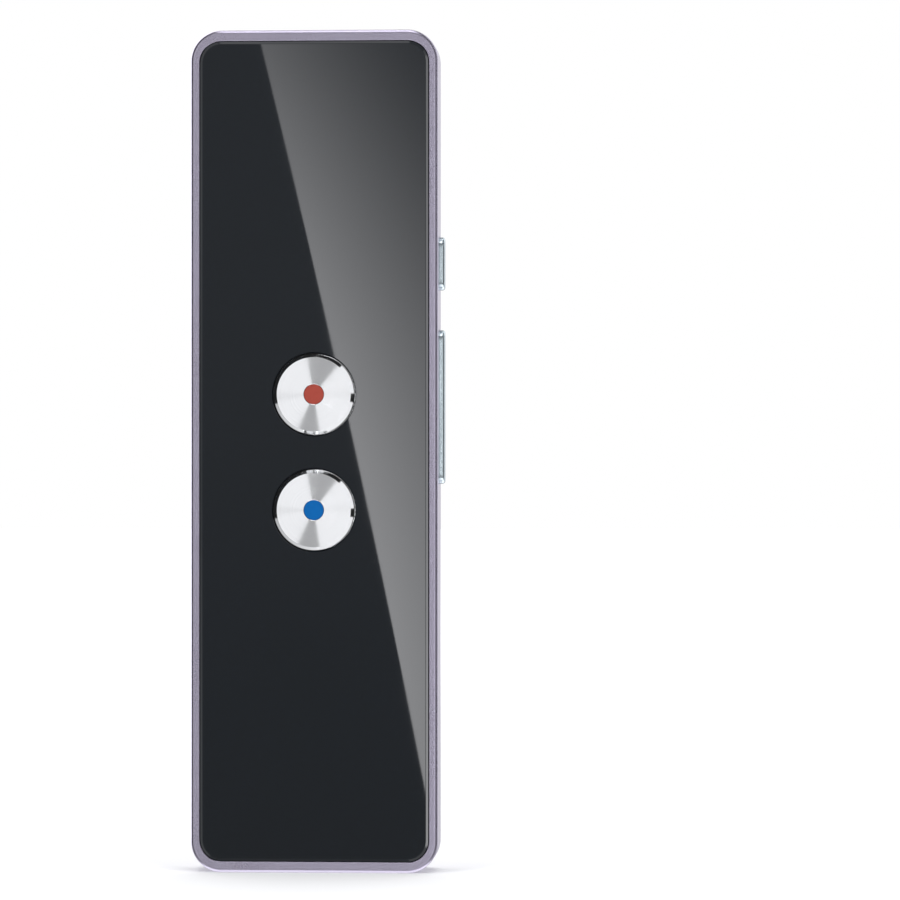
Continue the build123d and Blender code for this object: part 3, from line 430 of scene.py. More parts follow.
def around(count):
    """The cosine and sine of even steps round a full turn."""
    turns = [2 * math.pi * i / count for i in range(count)]
    return [(math.cos(turn), math.sin(turn)) for turn in turns]


def circle(y, radius, centre_z, segments=96):
    """A circle that faces the front, about the axis at a height."""
    return [(radius * c, y, centre_z + radius * s) for c, s in around(segments)]


def corner_ring(low, high, radius):
    """A rounded rectangle from its low and high corners, anticlockwise, with support points."""
    corners = (
        (high[0] - radius, high[1] - radius, 0),
        (low[0] + radius, high[1] - radius, 90),
        (low[0] + radius, low[1] + radius, 180),
        (high[0] - radius, low[1] + radius, 270),
    )
    points = []
    for across, up, start in corners:
        for step in range(-1, arc_steps + 2):
            turn = math.radians(start + 90 * min(max(step, 0), arc_steps) / arc_steps)
            ahead = support * ((step > arc_steps) - (step < 0))
            points.append((
                across + radius * math.cos(turn) - ahead * math.sin(turn),
                up + radius * math.sin(turn) + ahead * math.cos(turn),
            ))
    return points


print("an outline has", len(corner_ring((-1, -1), (1, 1), 0.5)), "points")

# %% [markdown]
# ## From rings to a finished piece
# A loft leaves its two ends open. An end without holes becomes one many-sided face, and an end
# with holes is filled with triangles. Then doubled points are merged, the faces are turned
# outwards, and the piece counts its own open edges, of which a closed form has none.

# %% Lofts, covers and turned forms
merge_distance = 0.0005 * mm
sharp_from = math.radians(35)


def loft(bm, rings):
    """Joins rings of points in quads, and returns the rings of vertices."""
    made = [[bm.verts.new(point) for point in ring] for ring in rings]
    for one, two in zip(made, made[1:]):
        for i in range(len(one)):
            j = (i + 1) % len(one)
            bm.faces.new((one[i], one[j], two[j], two[i]))
    return made


def ring_edges(bm, ring):
    """The edges round a ring of vertices, made where they are missing."""
    edges = []
    for one, two in zip(ring, ring[1:] + ring[:1]):
        edges.append(bm.edges.get((one, two)) or bm.edges.new((one, two)))
    return edges


def cover(bm, ring, *holes):
    """Fills the flat area inside a ring of vertices, but for the rings of its holes."""
    if not holes:
        bm.faces.new(ring)
        return
    edges = [edge for loop in (ring, *holes) for edge in ring_edges(bm, loop)]
    bmesh.ops.triangle_fill(bm, use_beauty=True, use_dissolve=False, edges=edges)


def shade(mesh):
    """Smooth shading, but for sharp edges."""
    mesh.shade_smooth()
    mesh.set_sharp_from_angle(angle=sharp_from)


def in_scene(name, data):
    """A new object in the scene, with its data."""
    made = bpy.data.objects.new(name, data)
    bpy.context.scene.collection.objects.link(made)
    return made


def report_mesh(piece):
    """Prints a piece's faces and its open edges."""
    bm = bmesh.new()
    bm.from_mesh(piece.data)
    open_edges = sum(not edge.is_manifold for edge in bm.edges)
    print(piece.name, len(bm.faces), "faces,", open_edges, "open edges")
    bm.free()


def finish_mesh(bm, name, material):
    """A smooth-shaded object from a closed bmesh, with its normals outwards."""
    bmesh.ops.remove_doubles(bm, verts=bm.verts, dist=merge_distance)
    bmesh.ops.recalc_face_normals(bm, faces=bm.faces)
    mesh = bpy.data.meshes.new(name)
    bm.to_mesh(mesh)
    bm.free()
    shade(mesh)
    mesh.materials.append(material)
    piece = in_scene(name, mesh)
    report_mesh(piece)
    return piece


def solid(name, rings, material):
    """A closed solid from rings of points, with both ends covered."""
    bm = bmesh.new()
    made = loft(bm, rings)
    cover(bm, made[0])
    cover(bm, made[-1])
    return finish_mesh(bm, name, material)


def turned(name, profile, centre_z, material, segments=144):
    """Turns a profile of (radius, y) points about a front-to-back axis at a height."""
    bm = bmesh.new()
    loft(bm, [circle(y, radius, centre_z, segments) for radius, y in profile])
    return finish_mesh(bm, name, material)


print("loft helpers ready, edges are sharp from", round(math.degrees(sharp_from)), "degrees")

# %% [markdown]
# ## The sound holes
# Ninety-six round holes in a square grid, without the four corners. Boolean cuts would be slow
# and leave ragged faces in a surface that has to look flat. It is a pattern, so Geometry Nodes
# make it. Curves on a plane are filled with holes left in them, which gives both faces of the
# sheet, and short cones line each hole with a small bevel and a straight wall. The tree takes its
# sizes as named inputs.

# %% The perforated sheet as a node tree
def group_inputs(tree, sockets):
    """Adds named inputs and a geometry output, and returns the inputs' wires by name."""
    for name, kind, value in sockets:
        socket = tree.interface.new_socket(name=name, in_out="INPUT", socket_type=kind)
        if value is not None:
            socket.default_value = value
    tree.interface.new_socket(name="Geometry", in_out="OUTPUT", socket_type="NodeSocketGeometry")
    wires = Wire(tree).node("NodeGroupInput").outputs()
    return {wire.socket.name: wire for wire in wires if wire.socket.name}


def joined(*shapes):
    return shapes[0].node("GeometryNodeJoinGeometry", inputs={0: list(shapes)})


def lowered(shape, drop):
    """A shape, moved down by a drop."""
    down = shape.node("ShaderNodeCombineXYZ", inputs={2: drop * -1.0})
    return shape.node("GeometryNodeTransform", inputs={"Geometry": shape, "Translation": down})


def hole_places(root, size):
    """A square grid of points without its four corners."""
    count = size["Holes Each Way"]
    span = size["Pitch"] * (count - 1)
    grid = root.node("GeometryNodeMeshGrid", inputs={
        "Size X": span, "Size Y": span, "Vertices X": count, "Vertices Y": count,
    })
    x, y, _ = root.node("GeometryNodeInputPosition").vector("ABSOLUTE").parts()
    almost = span * 0.499
    corner = root.node(
        "FunctionNodeBooleanMath",
        {"operation": "AND"},
        {0: x.math("GREATER_THAN", almost), 1: y.math("GREATER_THAN", almost)},
    )
    kept = {"Geometry": grid, "Selection": corner}
    return root.node("GeometryNodeDeleteGeometry", {"domain": "POINT"}, kept)


def perforated_sheet_tree():
    tree = bpy.data.node_groups.new("perforated_sheet", "GeometryNodeTree")
    length, whole = "NodeSocketFloat", "NodeSocketInt"
    size = group_inputs(tree, [
        ("Holes Each Way", whole, 10), ("Pitch", length, 0.003), ("Hole Radius", length, 0.0005),
        ("Bevel", length, 0.0001), ("Sides", whole, 24), ("Sheet Side", length, 0.03),
        ("Thickness", length, 0.001), ("Material", "NodeSocketMaterial", None),
    ])
    root = Wire(tree)
    points = hole_places(root, size)

    def on_each_hole(shape):
        placed = {"Points": points, "Instance": shape}
        instances = root.node("GeometryNodeInstanceOnPoints", inputs=placed)
        return root.node("GeometryNodeRealizeInstances", inputs={"Geometry": instances})

    def filled(radius):
        """The sheet's flat face, with round holes of a radius left open."""
        round_edge = root.node("GeometryNodeCurvePrimitiveCircle", inputs={
            "Resolution": size["Sides"], "Radius": radius,
        })
        square_edge = root.node("GeometryNodeCurvePrimitiveQuadrilateral", inputs={
            "Width": size["Sheet Side"], "Height": size["Sheet Side"],
        })
        both = joined(on_each_hole(round_edge), square_edge)
        return root.node("GeometryNodeFillCurve", inputs={0: both})

    def lining(low_radius, high_radius, depth, drop):
        """The side of a short cone, with its base a drop below the sheet."""
        sizes = {
            "Vertices": size["Sides"], "Radius Top": high_radius,
            "Radius Bottom": low_radius, "Depth": depth,
        }
        return lowered(root.node("GeometryNodeMeshCone", {"fill_type": "NONE"}, sizes), drop)

    hole, bevel, depth = size["Hole Radius"], size["Bevel"], size["Thickness"]
    bevel_walls = lining(hole, hole + bevel, bevel, bevel)
    straight_walls = lining(hole, hole, depth - bevel, depth)
    walls = on_each_hole(joined(bevel_walls, straight_walls))
    sheet = joined(filled(hole + bevel), lowered(filled(hole), depth), walls)
    merged = root.node("GeometryNodeMergeByDistance", inputs={"Geometry": sheet, "Distance": 1e-6})
    painted = {"Geometry": merged, "Material": size["Material"]}
    root.node("NodeGroupOutput", inputs={0: root.node("GeometryNodeSetMaterial", inputs=painted)})
    return tree


sheet_tree = perforated_sheet_tree()
print("sheet tree:", len(sheet_tree.nodes), "nodes")

# %% [markdown]
# ## Growing the sheet
# A tree only works as an object's modifier. So an empty object wears it for a moment, its inputs
# are set by their sockets' identifiers, and the evaluated result is kept as a plain mesh. The
# sheet is made lying down, and one matrix turns it to face back and lifts it to the speaker.

# %% Run the tree and place the sheet
sheet_side = 30.0 * mm
back_wall = 1.2 * mm
speaker_drop = 24.3 * mm
body_low, body_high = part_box("rear_shell")
speaker_z = body_high.z - speaker_drop


def grown_mesh(tree, name, values):
    """Runs a Geometry Nodes tree on an empty mesh, and returns the plain mesh it grows."""
    seed = in_scene(name, bpy.data.meshes.new(name))
    modifier = seed.modifiers.new("grow", "NODES")
    modifier.node_group = tree
    for item in tree.interface.items_tree:
        if item.name in values:
            modifier[item.identifier] = values[item.name]
    evaluated = seed.evaluated_get(bpy.context.evaluated_depsgraph_get())
    mesh = bpy.data.meshes.new_from_object(evaluated)
    seed.modifiers.remove(modifier)
    bpy.data.objects.remove(seed)
    return mesh


sheet_mesh = grown_mesh(sheet_tree, "sheet", {
    "Holes Each Way": 10, "Pitch": 2.88 * mm, "Hole Radius": 0.575 * mm,
    "Bevel": 0.07 * mm, "Sides": 28, "Sheet Side": sheet_side,
    "Thickness": back_wall, "Material": shell_finish,
})
face_back = Matrix(((-1, 0, 0, 0), (0, 0, 1, body_high.y), (0, 1, 0, speaker_z), (0, 0, 0, 1)))
sheet_mesh.transform(face_back)
print("perforated sheet:", len(sheet_mesh.polygons), "faces")

# %% [markdown]
# ## The rear shell
# A tray with a thin wall. A Solidify modifier could make one from its outer surface, but this wall
# is thicker at the ends than at the sides, and its rim is rounded on the outside only. So one
# surface is lofted all the way: from the flat back, round the big rear edge, forward along the
# sides, over the front rim and down the inside to the floor. Both flats have a square window, and
# the perforated sheet closes it, welded at its four corners.

# %% Loft the tray and weld in the sheet
corner_radius = 5.2 * mm
back_radius = 3.6 * mm
rim_radius = 0.65 * mm
side_wall = 1.5 * mm
end_wall = 1.8 * mm
inner_edge = 0.05 * mm
cavity_radius = back_radius - side_wall
bend_steps = 20


def outline(y, inset, more_at_ends=0.0):
    """The body's outline at a depth, set in by a distance, and by a little more at its ends."""
    low = (body_low.x + inset, body_low.z + inset + more_at_ends)
    high = (body_high.x - inset, body_high.z - inset - more_at_ends)
    return [(x, y, z) for x, z in corner_ring(low, high, corner_radius - inset)]


def outer_profile():
    """(inset, y) from the flat back, round the outside, to the flat of the front rim."""
    front, back = body_low.y, body_high.y
    return [
        (back_radius + support, back),
        *bend((back_radius, back - back_radius), back_radius, 90, 180, bend_steps),
        (0, back - back_radius - support),
        (0, front + rim_radius + support),
        *bend((rim_radius, front + rim_radius), rim_radius, 180, 270, bend_steps // 2),
        (rim_radius + support, front),
    ]


def inner_profile():
    """(inset, y) from the inner edge of the front rim, down the inside, to the floor."""
    front, floor_y = body_low.y, body_high.y - back_wall
    cavity_edge = side_wall + cavity_radius
    return [
        (side_wall - inner_edge, front),
        (side_wall, front + inner_edge),
        (side_wall, floor_y - cavity_radius - support),
        *bend((cavity_edge, floor_y - cavity_radius), cavity_radius, 180, 90, bend_steps // 2),
        (cavity_edge + support, floor_y),
    ]


def rear_shell_mesh():
    bm = bmesh.new()
    bm.from_mesh(sheet_mesh)
    outside = [outline(y, inset) for inset, y in outer_profile()]
    inside = [outline(y, inset, end_wall - side_wall) for inset, y in inner_profile()]
    rings = loft(bm, outside + inside)
    half = sheet_side / 2
    window = ((-half, -half), (half, -half), (half, half), (-half, half))
    for ring, y in ((rings[0], body_high.y), (rings[-1], body_high.y - back_wall)):
        cover(bm, ring, [bm.verts.new((x, y, speaker_z + z)) for x, z in window])
    return bm


shell = finish_mesh(rear_shell_mesh(), "rear_shell_skin", shell_finish)

# %% [markdown]
# ## Slots for the side keys
# The side keys need openings through a flat wall. Here a Boolean cut is safe, because a flat face
# hides how it was divided. Each cutter flares a little at the surface, so that its opening gets a
# fine bevel, as a milled slot has. The result is kept as a plain mesh, with no live modifier.

# %% Cut the key slots
slot_gap = 0.15 * mm
slot_bevel = 0.1 * mm
key_width = 3.4 * mm
power_key_length = 9.0 * mm
volume_key_length = 26.0 * mm


def middle_of(node):
    """The middle of a node's box: its x, y and z."""
    return [(low + high) / 2 for low, high in zip(*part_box(node))]


def slot_ring(x, node, length, width):
    """A round-ended slot in a plane square to +X, about the middle of a node."""
    _, y, z = middle_of(node)
    low = (y - width / 2, z - length / 2)
    high = (y + width / 2, z + length / 2)
    return [(x, *point) for point in corner_ring(low, high, width / 2 - support)]


def combine(piece, tool, operation="DIFFERENCE"):
    """Takes a tool's solid out of a piece, or joins it to the piece, for good."""
    modifier = piece.modifiers.new("combine", "BOOLEAN")
    modifier.operation = operation
    modifier.solver = "EXACT"
    modifier.object = tool
    evaluated = piece.evaluated_get(bpy.context.evaluated_depsgraph_get())
    result = bpy.data.meshes.new_from_object(evaluated)
    piece.modifiers.remove(modifier)
    for face in result.polygons:
        face.material_index = 0
    while len(result.materials) > 1:
        result.materials.pop()
    shade(result)
    piece.data = result
    bpy.data.objects.remove(tool)


def key_slot(node, key_length):
    """A cutter for the slot round a side key."""
    length, width = key_length + 2 * slot_gap, key_width + 2 * slot_gap
    wall = body_high.x
    sections = (
        (wall - 2 * side_wall, 0), (wall - slot_bevel, 0),
        (wall, slot_bevel), (wall + slot_bevel, 2 * slot_bevel),
    )
    rings = [
        slot_ring(x, node, length + 2 * flare, width + 2 * flare) for x, flare in sections
    ]
    return solid("slot_cutter", rings, shell_finish)


combine(shell, key_slot("power_key", power_key_length))
combine(shell, key_slot("volume_key", volume_key_length))

# %% [markdown]
# ## Mouths in the bottom end
# The charging socket looks out of the bottom end, through a mouth of its own outline: a rectangle
# with two corners cut off, so that the plug fits one way only. Beside it a one-millimetre hole
# leads to the microphone. Both are cut as the slots were, and the shell takes its solid's place.

# %% Cut the charging mouth and the microphone hole
socket_gap = 0.25 * mm
socket_corner = 1.0 * mm
microphone_radius = 0.5 * mm
small_circle = 32
socket_low, socket_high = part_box("usb_shell")


def mouth_ring(z, grow):
    """The charging mouth: a rectangle with its two front corners cut off."""
    x0, y0 = socket_low.x - grow, socket_low.y - grow
    x1, y1 = socket_high.x + grow, socket_high.y + grow
    return [
        (x0 + socket_corner, y0, z), (x1 - socket_corner, y0, z), (x1, y0 + socket_corner, z),
        (x1, y1, z), (x0, y1, z), (x0, y0 + socket_corner, z),
    ]


def hole_ring(z, radius):
    """The microphone's hole, below the capsule."""
    x, y, _ = middle_of("microphone_capsule")
    return [(x + radius * c, y + radius * s, z) for c, s in around(small_circle)]


depths = (
    (1.5 * end_wall, 0), (slot_bevel, 0), (0, slot_bevel), (-slot_bevel, 2 * slot_bevel),
)
mouth = [mouth_ring(z, socket_gap + flare) for z, flare in depths]
combine(shell, solid("mouth_cutter", mouth, shell_finish))
sound_way = [hole_ring(z, microphone_radius + flare) for z, flare in depths]
combine(shell, solid("microphone_cutter", sound_way, shell_finish))
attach(shell, "housing")
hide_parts("rear_shell")
report_mesh(shell)

# %% [markdown]
# ## The front panel
# A sheet a millimetre thick, flush with the rim. Towards its edge the face falls away by a few
# hundredths of a millimetre, over a border half a millimetre wide, and that border picks a light
# of its own out of the room: the thin bright line that makes a glossy sheet read as a sheet. A
# Bevel modifier would round the border and smear the line. Here it is lofted, with a ring of
# support points on each side that keeps its tilt even and the face truly flat.

# %% Loft the panel with its two holes
border_width = 0.45 * mm
border_tilt = math.radians(4.3)
panel_bevel = 0.05 * mm
hole_edge_bevel = 0.12 * mm
key_hole_radius = 7.0 * mm
panel_low, panel_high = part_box("front_panel")
key_heights = {colour: middle_of(f"{colour}_key_dot")[2] for colour in ("red", "blue")}


def panel_outline(y, inset):
    low = (panel_low.x + inset, panel_low.z + inset)
    high = (panel_high.x - inset, panel_high.z - inset)
    gap = panel_low.x - body_low.x
    return [(x, y, z) for x, z in corner_ring(low, high, corner_radius - gap - inset)]


def panel_mesh():
    bm = bmesh.new()
    front, back = panel_low.y, panel_high.y
    fall = math.tan(border_tilt)
    border = [border_width, border_width - support, panel_bevel + support, panel_bevel]
    border_end = front + (border_width - panel_bevel) * fall
    edge = loft(bm, [
        panel_outline(front, border_width + support),
        *[panel_outline(front + (border_width - inset) * fall, inset) for inset in border],
        panel_outline(border_end + panel_bevel, 0),
        panel_outline(back, 0),
    ])
    fronts, backs = [edge[0]], [edge[-1]]
    for centre_z in key_heights.values():
        hole = loft(bm, [
            circle(front, key_hole_radius + hole_edge_bevel, centre_z),
            circle(front + hole_edge_bevel, key_hole_radius, centre_z),
            circle(back, key_hole_radius, centre_z),
        ])
        fronts.append(hole[0])
        backs.append(hole[-1])
    cover(bm, *fronts)
    cover(bm, *backs)
    return bm


panel = finish_mesh(panel_mesh(), "front_sheet", sheet_finish)
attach(panel, "housing")
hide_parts("front_panel")

# %% [markdown]
# ## The round keys
# Each key is one turned cap: a flat grooved face, a wide polished bevel, a straight side that
# dives into the panel, and a flange behind that keeps it there. On a lathe one profile gives all
# of it, and so it does here. A pocket in the middle holds the enamel dot, a tenth of a millimetre
# below the face.

# %% Shape the caps
key_radius = 6.75 * mm
face_radius = 6.25 * mm
key_bevel = 0.5 * mm
dot_radius = 1.7 * mm
dot_gap = 0.02 * mm
pocket_lip = 0.03 * mm
skirt_width = 0.85 * mm
face_thickness = 1.1 * mm
flange_width = 1.05 * mm
flange_thickness = 0.7 * mm
flange_depth = 1.25 * mm
stem_radius = 1.4 * mm
flange_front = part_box("mid_frame")[0].y + flange_depth
flange_back = flange_front + flange_thickness


def cap_profile(colour):
    """(radius, y) from the floor of the dot's pocket, round the cap, to the end of its stem."""
    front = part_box(f"{colour}_key_cap")[0].y
    pocket_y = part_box(f"{colour}_key_dot")[1].y
    stem_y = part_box(f"{colour}_key_plunger")[0].y
    return [
        (0, pocket_y),
        (dot_radius + dot_gap, pocket_y),
        (dot_radius + dot_gap, front + pocket_lip),
        (dot_radius + dot_gap + pocket_lip, front),
        (face_radius, front),
        (key_radius, front + key_bevel),
        (key_radius, flange_front),
        (key_radius + flange_width, flange_front),
        (key_radius + flange_width, flange_back),
        (key_radius - skirt_width, flange_back),
        (key_radius - skirt_width, front + face_thickness),
        (stem_radius, front + face_thickness),
        (stem_radius, stem_y),
        (0, stem_y),
    ]


def key_cap(colour, centre_z):
    metal = spun_metal(f"spun_metal_{colour}", centre_z, face_radius, key_radius + dot_gap)
    cap = turned(f"{colour}_key_face", cap_profile(colour), centre_z, metal)
    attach(cap, f"{colour}_key")
    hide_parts(f"{colour}_key_cap")


print("a cap's profile has", len(cap_profile("red")), "points")

# %% [markdown]
# ## The enamel dots
# The dots are the only colour on the front. Each is a thin disc with a rounded edge, as a drop of
# enamel has where it meets the wall of its pocket. It rides with its key, so each key is turned
# whole, its cap first and then its dot.

# %% Shape the dots, and turn both keys
dot_edge = 0.08 * mm
enamel_colours = {"red": linear(155, 68, 57), "blue": linear(2, 91, 159)}


def key_dot(colour, centre_z):
    dot_low, dot_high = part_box(f"{colour}_key_dot")
    edge_centre = (dot_radius - dot_edge, dot_low.y + dot_edge)
    profile = [
        (0, dot_low.y),
        (dot_radius - dot_edge - support, dot_low.y),
        *bend(edge_centre, dot_edge, 270, 360, 6),
        (dot_radius, dot_high.y),
        (0, dot_high.y),
    ]
    colour_finish = enamel(f"{colour}_enamel", enamel_colours[colour])
    dot = turned(f"{colour}_key_enamel", profile, centre_z, colour_finish, segments=72)
    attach(dot, f"{colour}_key")
    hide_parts(f"{colour}_key_dot")


for colour, centre_z in key_heights.items():
    key_cap(colour, centre_z)
    key_dot(colour, centre_z)

# %% [markdown]
# ## The side keys
# Two bright bars with round ends stand a millimetre out of the right-hand wall. Each is lofted
# from slot outlines, with a half-millimetre round on its outer edge. Behind the wall ears keep it
# from falling out. The short key has a nub that meets its switch, and the long one a saddle for
# the nose that it rocks on. One loft can't turn such a corner, so those parts are simple solids.

# %% The parts of a side key
key_edge_radius = 0.5 * mm
key_edge_steps = 12
ear_gap = 0.1 * mm
ear_thickness = 0.7 * mm
ear_outer_x = body_high.x - side_wall - ear_gap
ear_inner_x = ear_outer_x - ear_thickness
groove_steps = 24


def key_bar(name, node, length):
    """A side key's bar, round-ended and with a rounded outer edge."""
    outer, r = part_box(node)[1].x, key_edge_radius
    sections = [(0, ear_inner_x), (0, outer - r - support)]
    sections += bend((r, outer - r), r, 180, 90, key_edge_steps)
    sections.append((r + support, outer))
    rings = [
        slot_ring(x, node, length - 2 * inset, key_width - 2 * inset) for inset, x in sections
    ]
    return solid(name, rings, trim_finish)


def ears(node, length):
    """The flat ears behind the wall, as wide as the node."""
    low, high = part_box(node)
    bottom, top = middle_of(node)[2] - length / 2, middle_of(node)[2] + length / 2
    ring = ((low.y, bottom), (high.y, bottom), (high.y, top), (low.y, top))
    rings = [[(x, y, z) for y, z in ring] for x in (ear_inner_x, ear_outer_x)]
    return solid("ears", rings, trim_finish)


def nub(node, radius):
    """The round nub that meets the short key's switch."""
    _, y, z = middle_of(node)
    rings = []
    for x in (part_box(node)[0].x, ear_inner_x + support):
        rings.append([(x, y + radius * c, z + radius * s) for c, s in around(small_circle)])
    return solid("nub", rings, trim_finish)


def saddle(node, length, pivot_x, groove_radius):
    """The block behind the long key, with a round groove for the nose."""
    _, y, z = middle_of(node)
    low_x, high_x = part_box(node)[0].x, ear_inner_x + support
    bottom, top = z - length / 2, z + length / 2
    start = math.degrees(math.acos((low_x - pivot_x) / groove_radius))
    groove = bend((pivot_x, z), groove_radius, start, -start, groove_steps)
    side = [(low_x, top), *groove, (low_x, bottom), (high_x, bottom), (high_x, top)]
    ends = (y - key_width / 2, y + key_width / 2)
    return solid("saddle", [[(x, end, up) for x, up in side] for end in ends], trim_finish)


print("ears lie from x", round(ear_inner_x / mm, 2), "to", round(ear_outer_x / mm, 2), "mm")

# %% [markdown]
# ## Joining the side keys
# A Boolean union makes each key one solid, as a moulded key is. The record of the joints says
# where the long key's pivot is, so its groove is cut about the very point that it turns round.

# %% Join and place the side keys
nub_radius = 0.9 * mm
ears_length = 6.0 * mm
saddle_length = 3.2 * mm
nose_groove = 0.85 * mm
power_low, power_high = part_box("power_key")
joints = {joint["name"]: joint for joint in frame["record"]["behaviour"]["joints"]}
nose_x = joints["volume_key_rock"]["pos_m"][0]

power_bar = key_bar("power_key_bar", "power_key", power_key_length)
combine(power_bar, ears("power_key", power_high.z - power_low.z), "UNION")
combine(power_bar, nub("power_key", nub_radius), "UNION")
volume_bar = key_bar("volume_key_bar", "volume_key", volume_key_length)
combine(volume_bar, ears("volume_key", ears_length), "UNION")
combine(volume_bar, saddle("volume_key", saddle_length, nose_x, nose_groove), "UNION")
for bar, node, body in (
    (power_bar, "power_key", "power_button"),
    (volume_bar, "volume_key", "volume_rocker"),
):
    report_mesh(bar)
    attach(bar, body)
    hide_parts(node)

# %% [markdown]
# ## A studio in the reflections
# Polished things show the room, so the room is drawn with care. Lamps and cards would also light
# the matt parts. Painted on the world and seen by reflected rays only, a light shows in the metal
# and does nothing else. Every light is placed in degrees: to the side of straight ahead or of the
# lens, and up.
# The glossy panel mirrors what lies ahead: a window with a slanting edge draws the diagonal across
# it, and two more do so for a viewer further left or higher up. The round keys look further out,
# so round the lens lies a ring of light with two dark wedges, one up and to the right and one down
# and to the left, which the grooves turn into the wedges on the metal. Two thin strips are for the
# border of the panel.

# %% Lights in front
degree = math.pi / 180
lens_turn = 5.2
edge_lean, edge_bow, edge_start = 0.2182, 0.0026, 0.528
tone_start, tone_lean, tone_bow, tone_fade = 0.4991, 0.0122, 0.003, 0.0949
window_gamma, window_level, window_height = 2.2, 23.5, 9.5


def window(off, rise):
    """A window with a slanting edge, brightest beside it, by degrees off its middle."""
    off_edge = off + rise * edge_lean + rise * rise * edge_bow - edge_start
    tone = tone_start - rise * tone_lean - rise * rise * tone_bow - off_edge * tone_fade
    light = tone.math("MAXIMUM", 0.0).math("POWER", window_gamma) * window_level
    light = light * off_edge.between(-0.006, 0.006)
    return light * rise.inside(-window_height, window_height, 1.5) * off.below(1.58, 1.64)


def windows(side, off_lens, rise):
    """The window by the lens, one straight ahead and a little down, and one for a high view."""
    ahead = window(side, rise + 3) * 0.45
    high = window(side + 45, rise + 25) * 0.7
    return window(off_lens, rise) + ahead + high


def ring_round_lens(off_lens, rise):
    """A dim middle, and round it a ring of light with two dark wedges and two faint ones."""
    hour = off_lens.math("ARCTAN2", rise) / degree
    reach = (off_lens * off_lens + rise * rise).math("SQRT")
    wedges = hour.inside(-12, 40, 1.5) + hour.between(171, 173) + hour.below(-153, -151)
    faint = hour.inside(-98, -86, 2) * 0.2 + hour.inside(80, 96, 4) * 0.1
    lights = (1 - wedges - faint) * reach.between(9, 11) * 0.58
    low_dip = rise.inside(-8, -1, 3) * reach.below(9, 11) * 0.09
    return (reach.between(9, 11, 0.31, 0.37) + lights - low_dip) * reach.below(41, 44)


def strips(off_lens, rise):
    """An upright strip right of the lens, stronger low down, and a flat one above it."""
    upright = off_lens.inside(8.6, 11.4, 0.2) * rise.inside(-8, 8, 1)
    flat = off_lens.inside(-2.2, 2.2, 0.3) * rise.inside(12.6, 15.2, 0.3)
    return upright * rise.between(-6, 6, 5.0, 2.2) + flat * 1.3


print("lens", lens_turn, "degrees to the right of straight ahead")

# %% [markdown]
# ## Lights behind and round the edges
# The satin back is lit by a wall straight behind it and a tall soft box on each side, with dark
# gaps between that draw the lines along its rounded edges. A flank of light stands square to the
# side keys, a ceiling lights the upper edges and a table the lower ones. Last comes a thin rail,
# all round and almost in the panel's plane, that only the bevels of the round keys can see. It is
# dark on its upper left, which draws a black crescent on each key's edge.

# %% Lights behind, round the edges, and all together
rail_back, rail_front = 0.02, -0.125
flank_level, ceiling_level, table_level = 2.2, 3.6, 2.2
dark_room, room_glow = 0.02, 0.06


def soft_boxes(side, rise):
    """A tall soft box to each side behind, stronger above the floor, and a wall between."""
    high = rise.between(-13, -8)
    left_box = side.inside(-75, -12, 3) * (1.0 + high * 1.5)
    right_box = side.inside(20, 64, 3) * (1.0 + high * 0.5)
    wall = side.inside(-12, 20, 4) * rise.inside(-40, 40, 5) * rise.between(-15, 15, 0.66, 0.98)
    return (left_box + right_box) * rise.inside(-60, 60, 4) + wall


def rail(x, z):
    """Light all round the edge of the front, with a dark side and a notch."""
    hour = x.math("ARCTAN2", z) / degree
    return hour.between(39, 41) + hour.below(-103, -101) - hour.inside(88, 102, 1)


def studio_reflection(tree):
    """Brightness of the studio in each direction, for reflected rays."""
    x, y, z = tree.node("ShaderNodeTexCoord", output="Generated").parts()
    side = x.math("ARCTAN2", y.math("ABSOLUTE")) / degree
    rise = z.math("ARCSINE") / degree
    over = z.math("ARCTAN2", y * -1.0) / degree
    off_lens = side + lens_turn
    in_front = y.below(-0.02, 0.02)
    on_rail = y.inside(rail_front, rail_back, 0.006)

    front = windows(side, off_lens, rise) + ring_round_lens(off_lens, rise)
    front = front + strips(off_lens, rise) + side.inside(40, 62, 6) * 0.3
    flank = side.between(82, 84) * flank_level
    ceiling = over.inside(46, 112, 3) * x.math("ABSOLUTE").below(0.16, 0.2) * ceiling_level
    table = rise.below(-48, -43) * table_level
    off_rail = (flank + ceiling + table + room_glow) * (1 - on_rail)
    light = in_front * front + (1 - in_front) * soft_boxes(side, rise)
    return dark_room + light + off_rail + rail(x, z) * on_rail


print("lights behind: a wall and two soft boxes; round the edges: flank, ceiling, table and rail")

# %% [markdown]
# ## The world
# The same world wears three faces. A reflected ray sees the studio, the camera sees plain white at
# a strength of one, and matt surfaces get an even soft glow. The Light Path node tells them apart.

# %% Join the three faces of the world
ambient_level = 0.62
glow_colour, studio_colour, white = (0.97, 0.98, 1.0), (1.0, 1.0, 1.02), (1.0, 1.0, 1.0)
world = bpy.data.worlds.new("studio")
bpy.context.scene.world = world
world.use_nodes = True
world.node_tree.nodes.clear()
world_tree = Wire(world.node_tree)


def background(colour, strength):
    values = {"Color": (*colour, 1.0), "Strength": strength}
    return world_tree.node("ShaderNodeBackground", inputs=values)


def choose(ray_kind, otherwise, chosen):
    """One background for a kind of ray, and another for the rest."""
    factor = world_tree.node("ShaderNodeLightPath", output=ray_kind)
    return world_tree.node("ShaderNodeMixShader", inputs={0: factor, 1: otherwise, 2: chosen})


glow = background(glow_colour, ambient_level)
studio = background(studio_colour, studio_reflection(world_tree))
lit = choose("Is Glossy Ray", glow, studio)
seen = choose("Is Camera Ray", lit, background(white, 1.0))
world_tree.node("ShaderNodeOutputWorld", inputs={"Surface": seen})
print("world:", len(world.node_tree.nodes), "nodes, ambient", ambient_level)

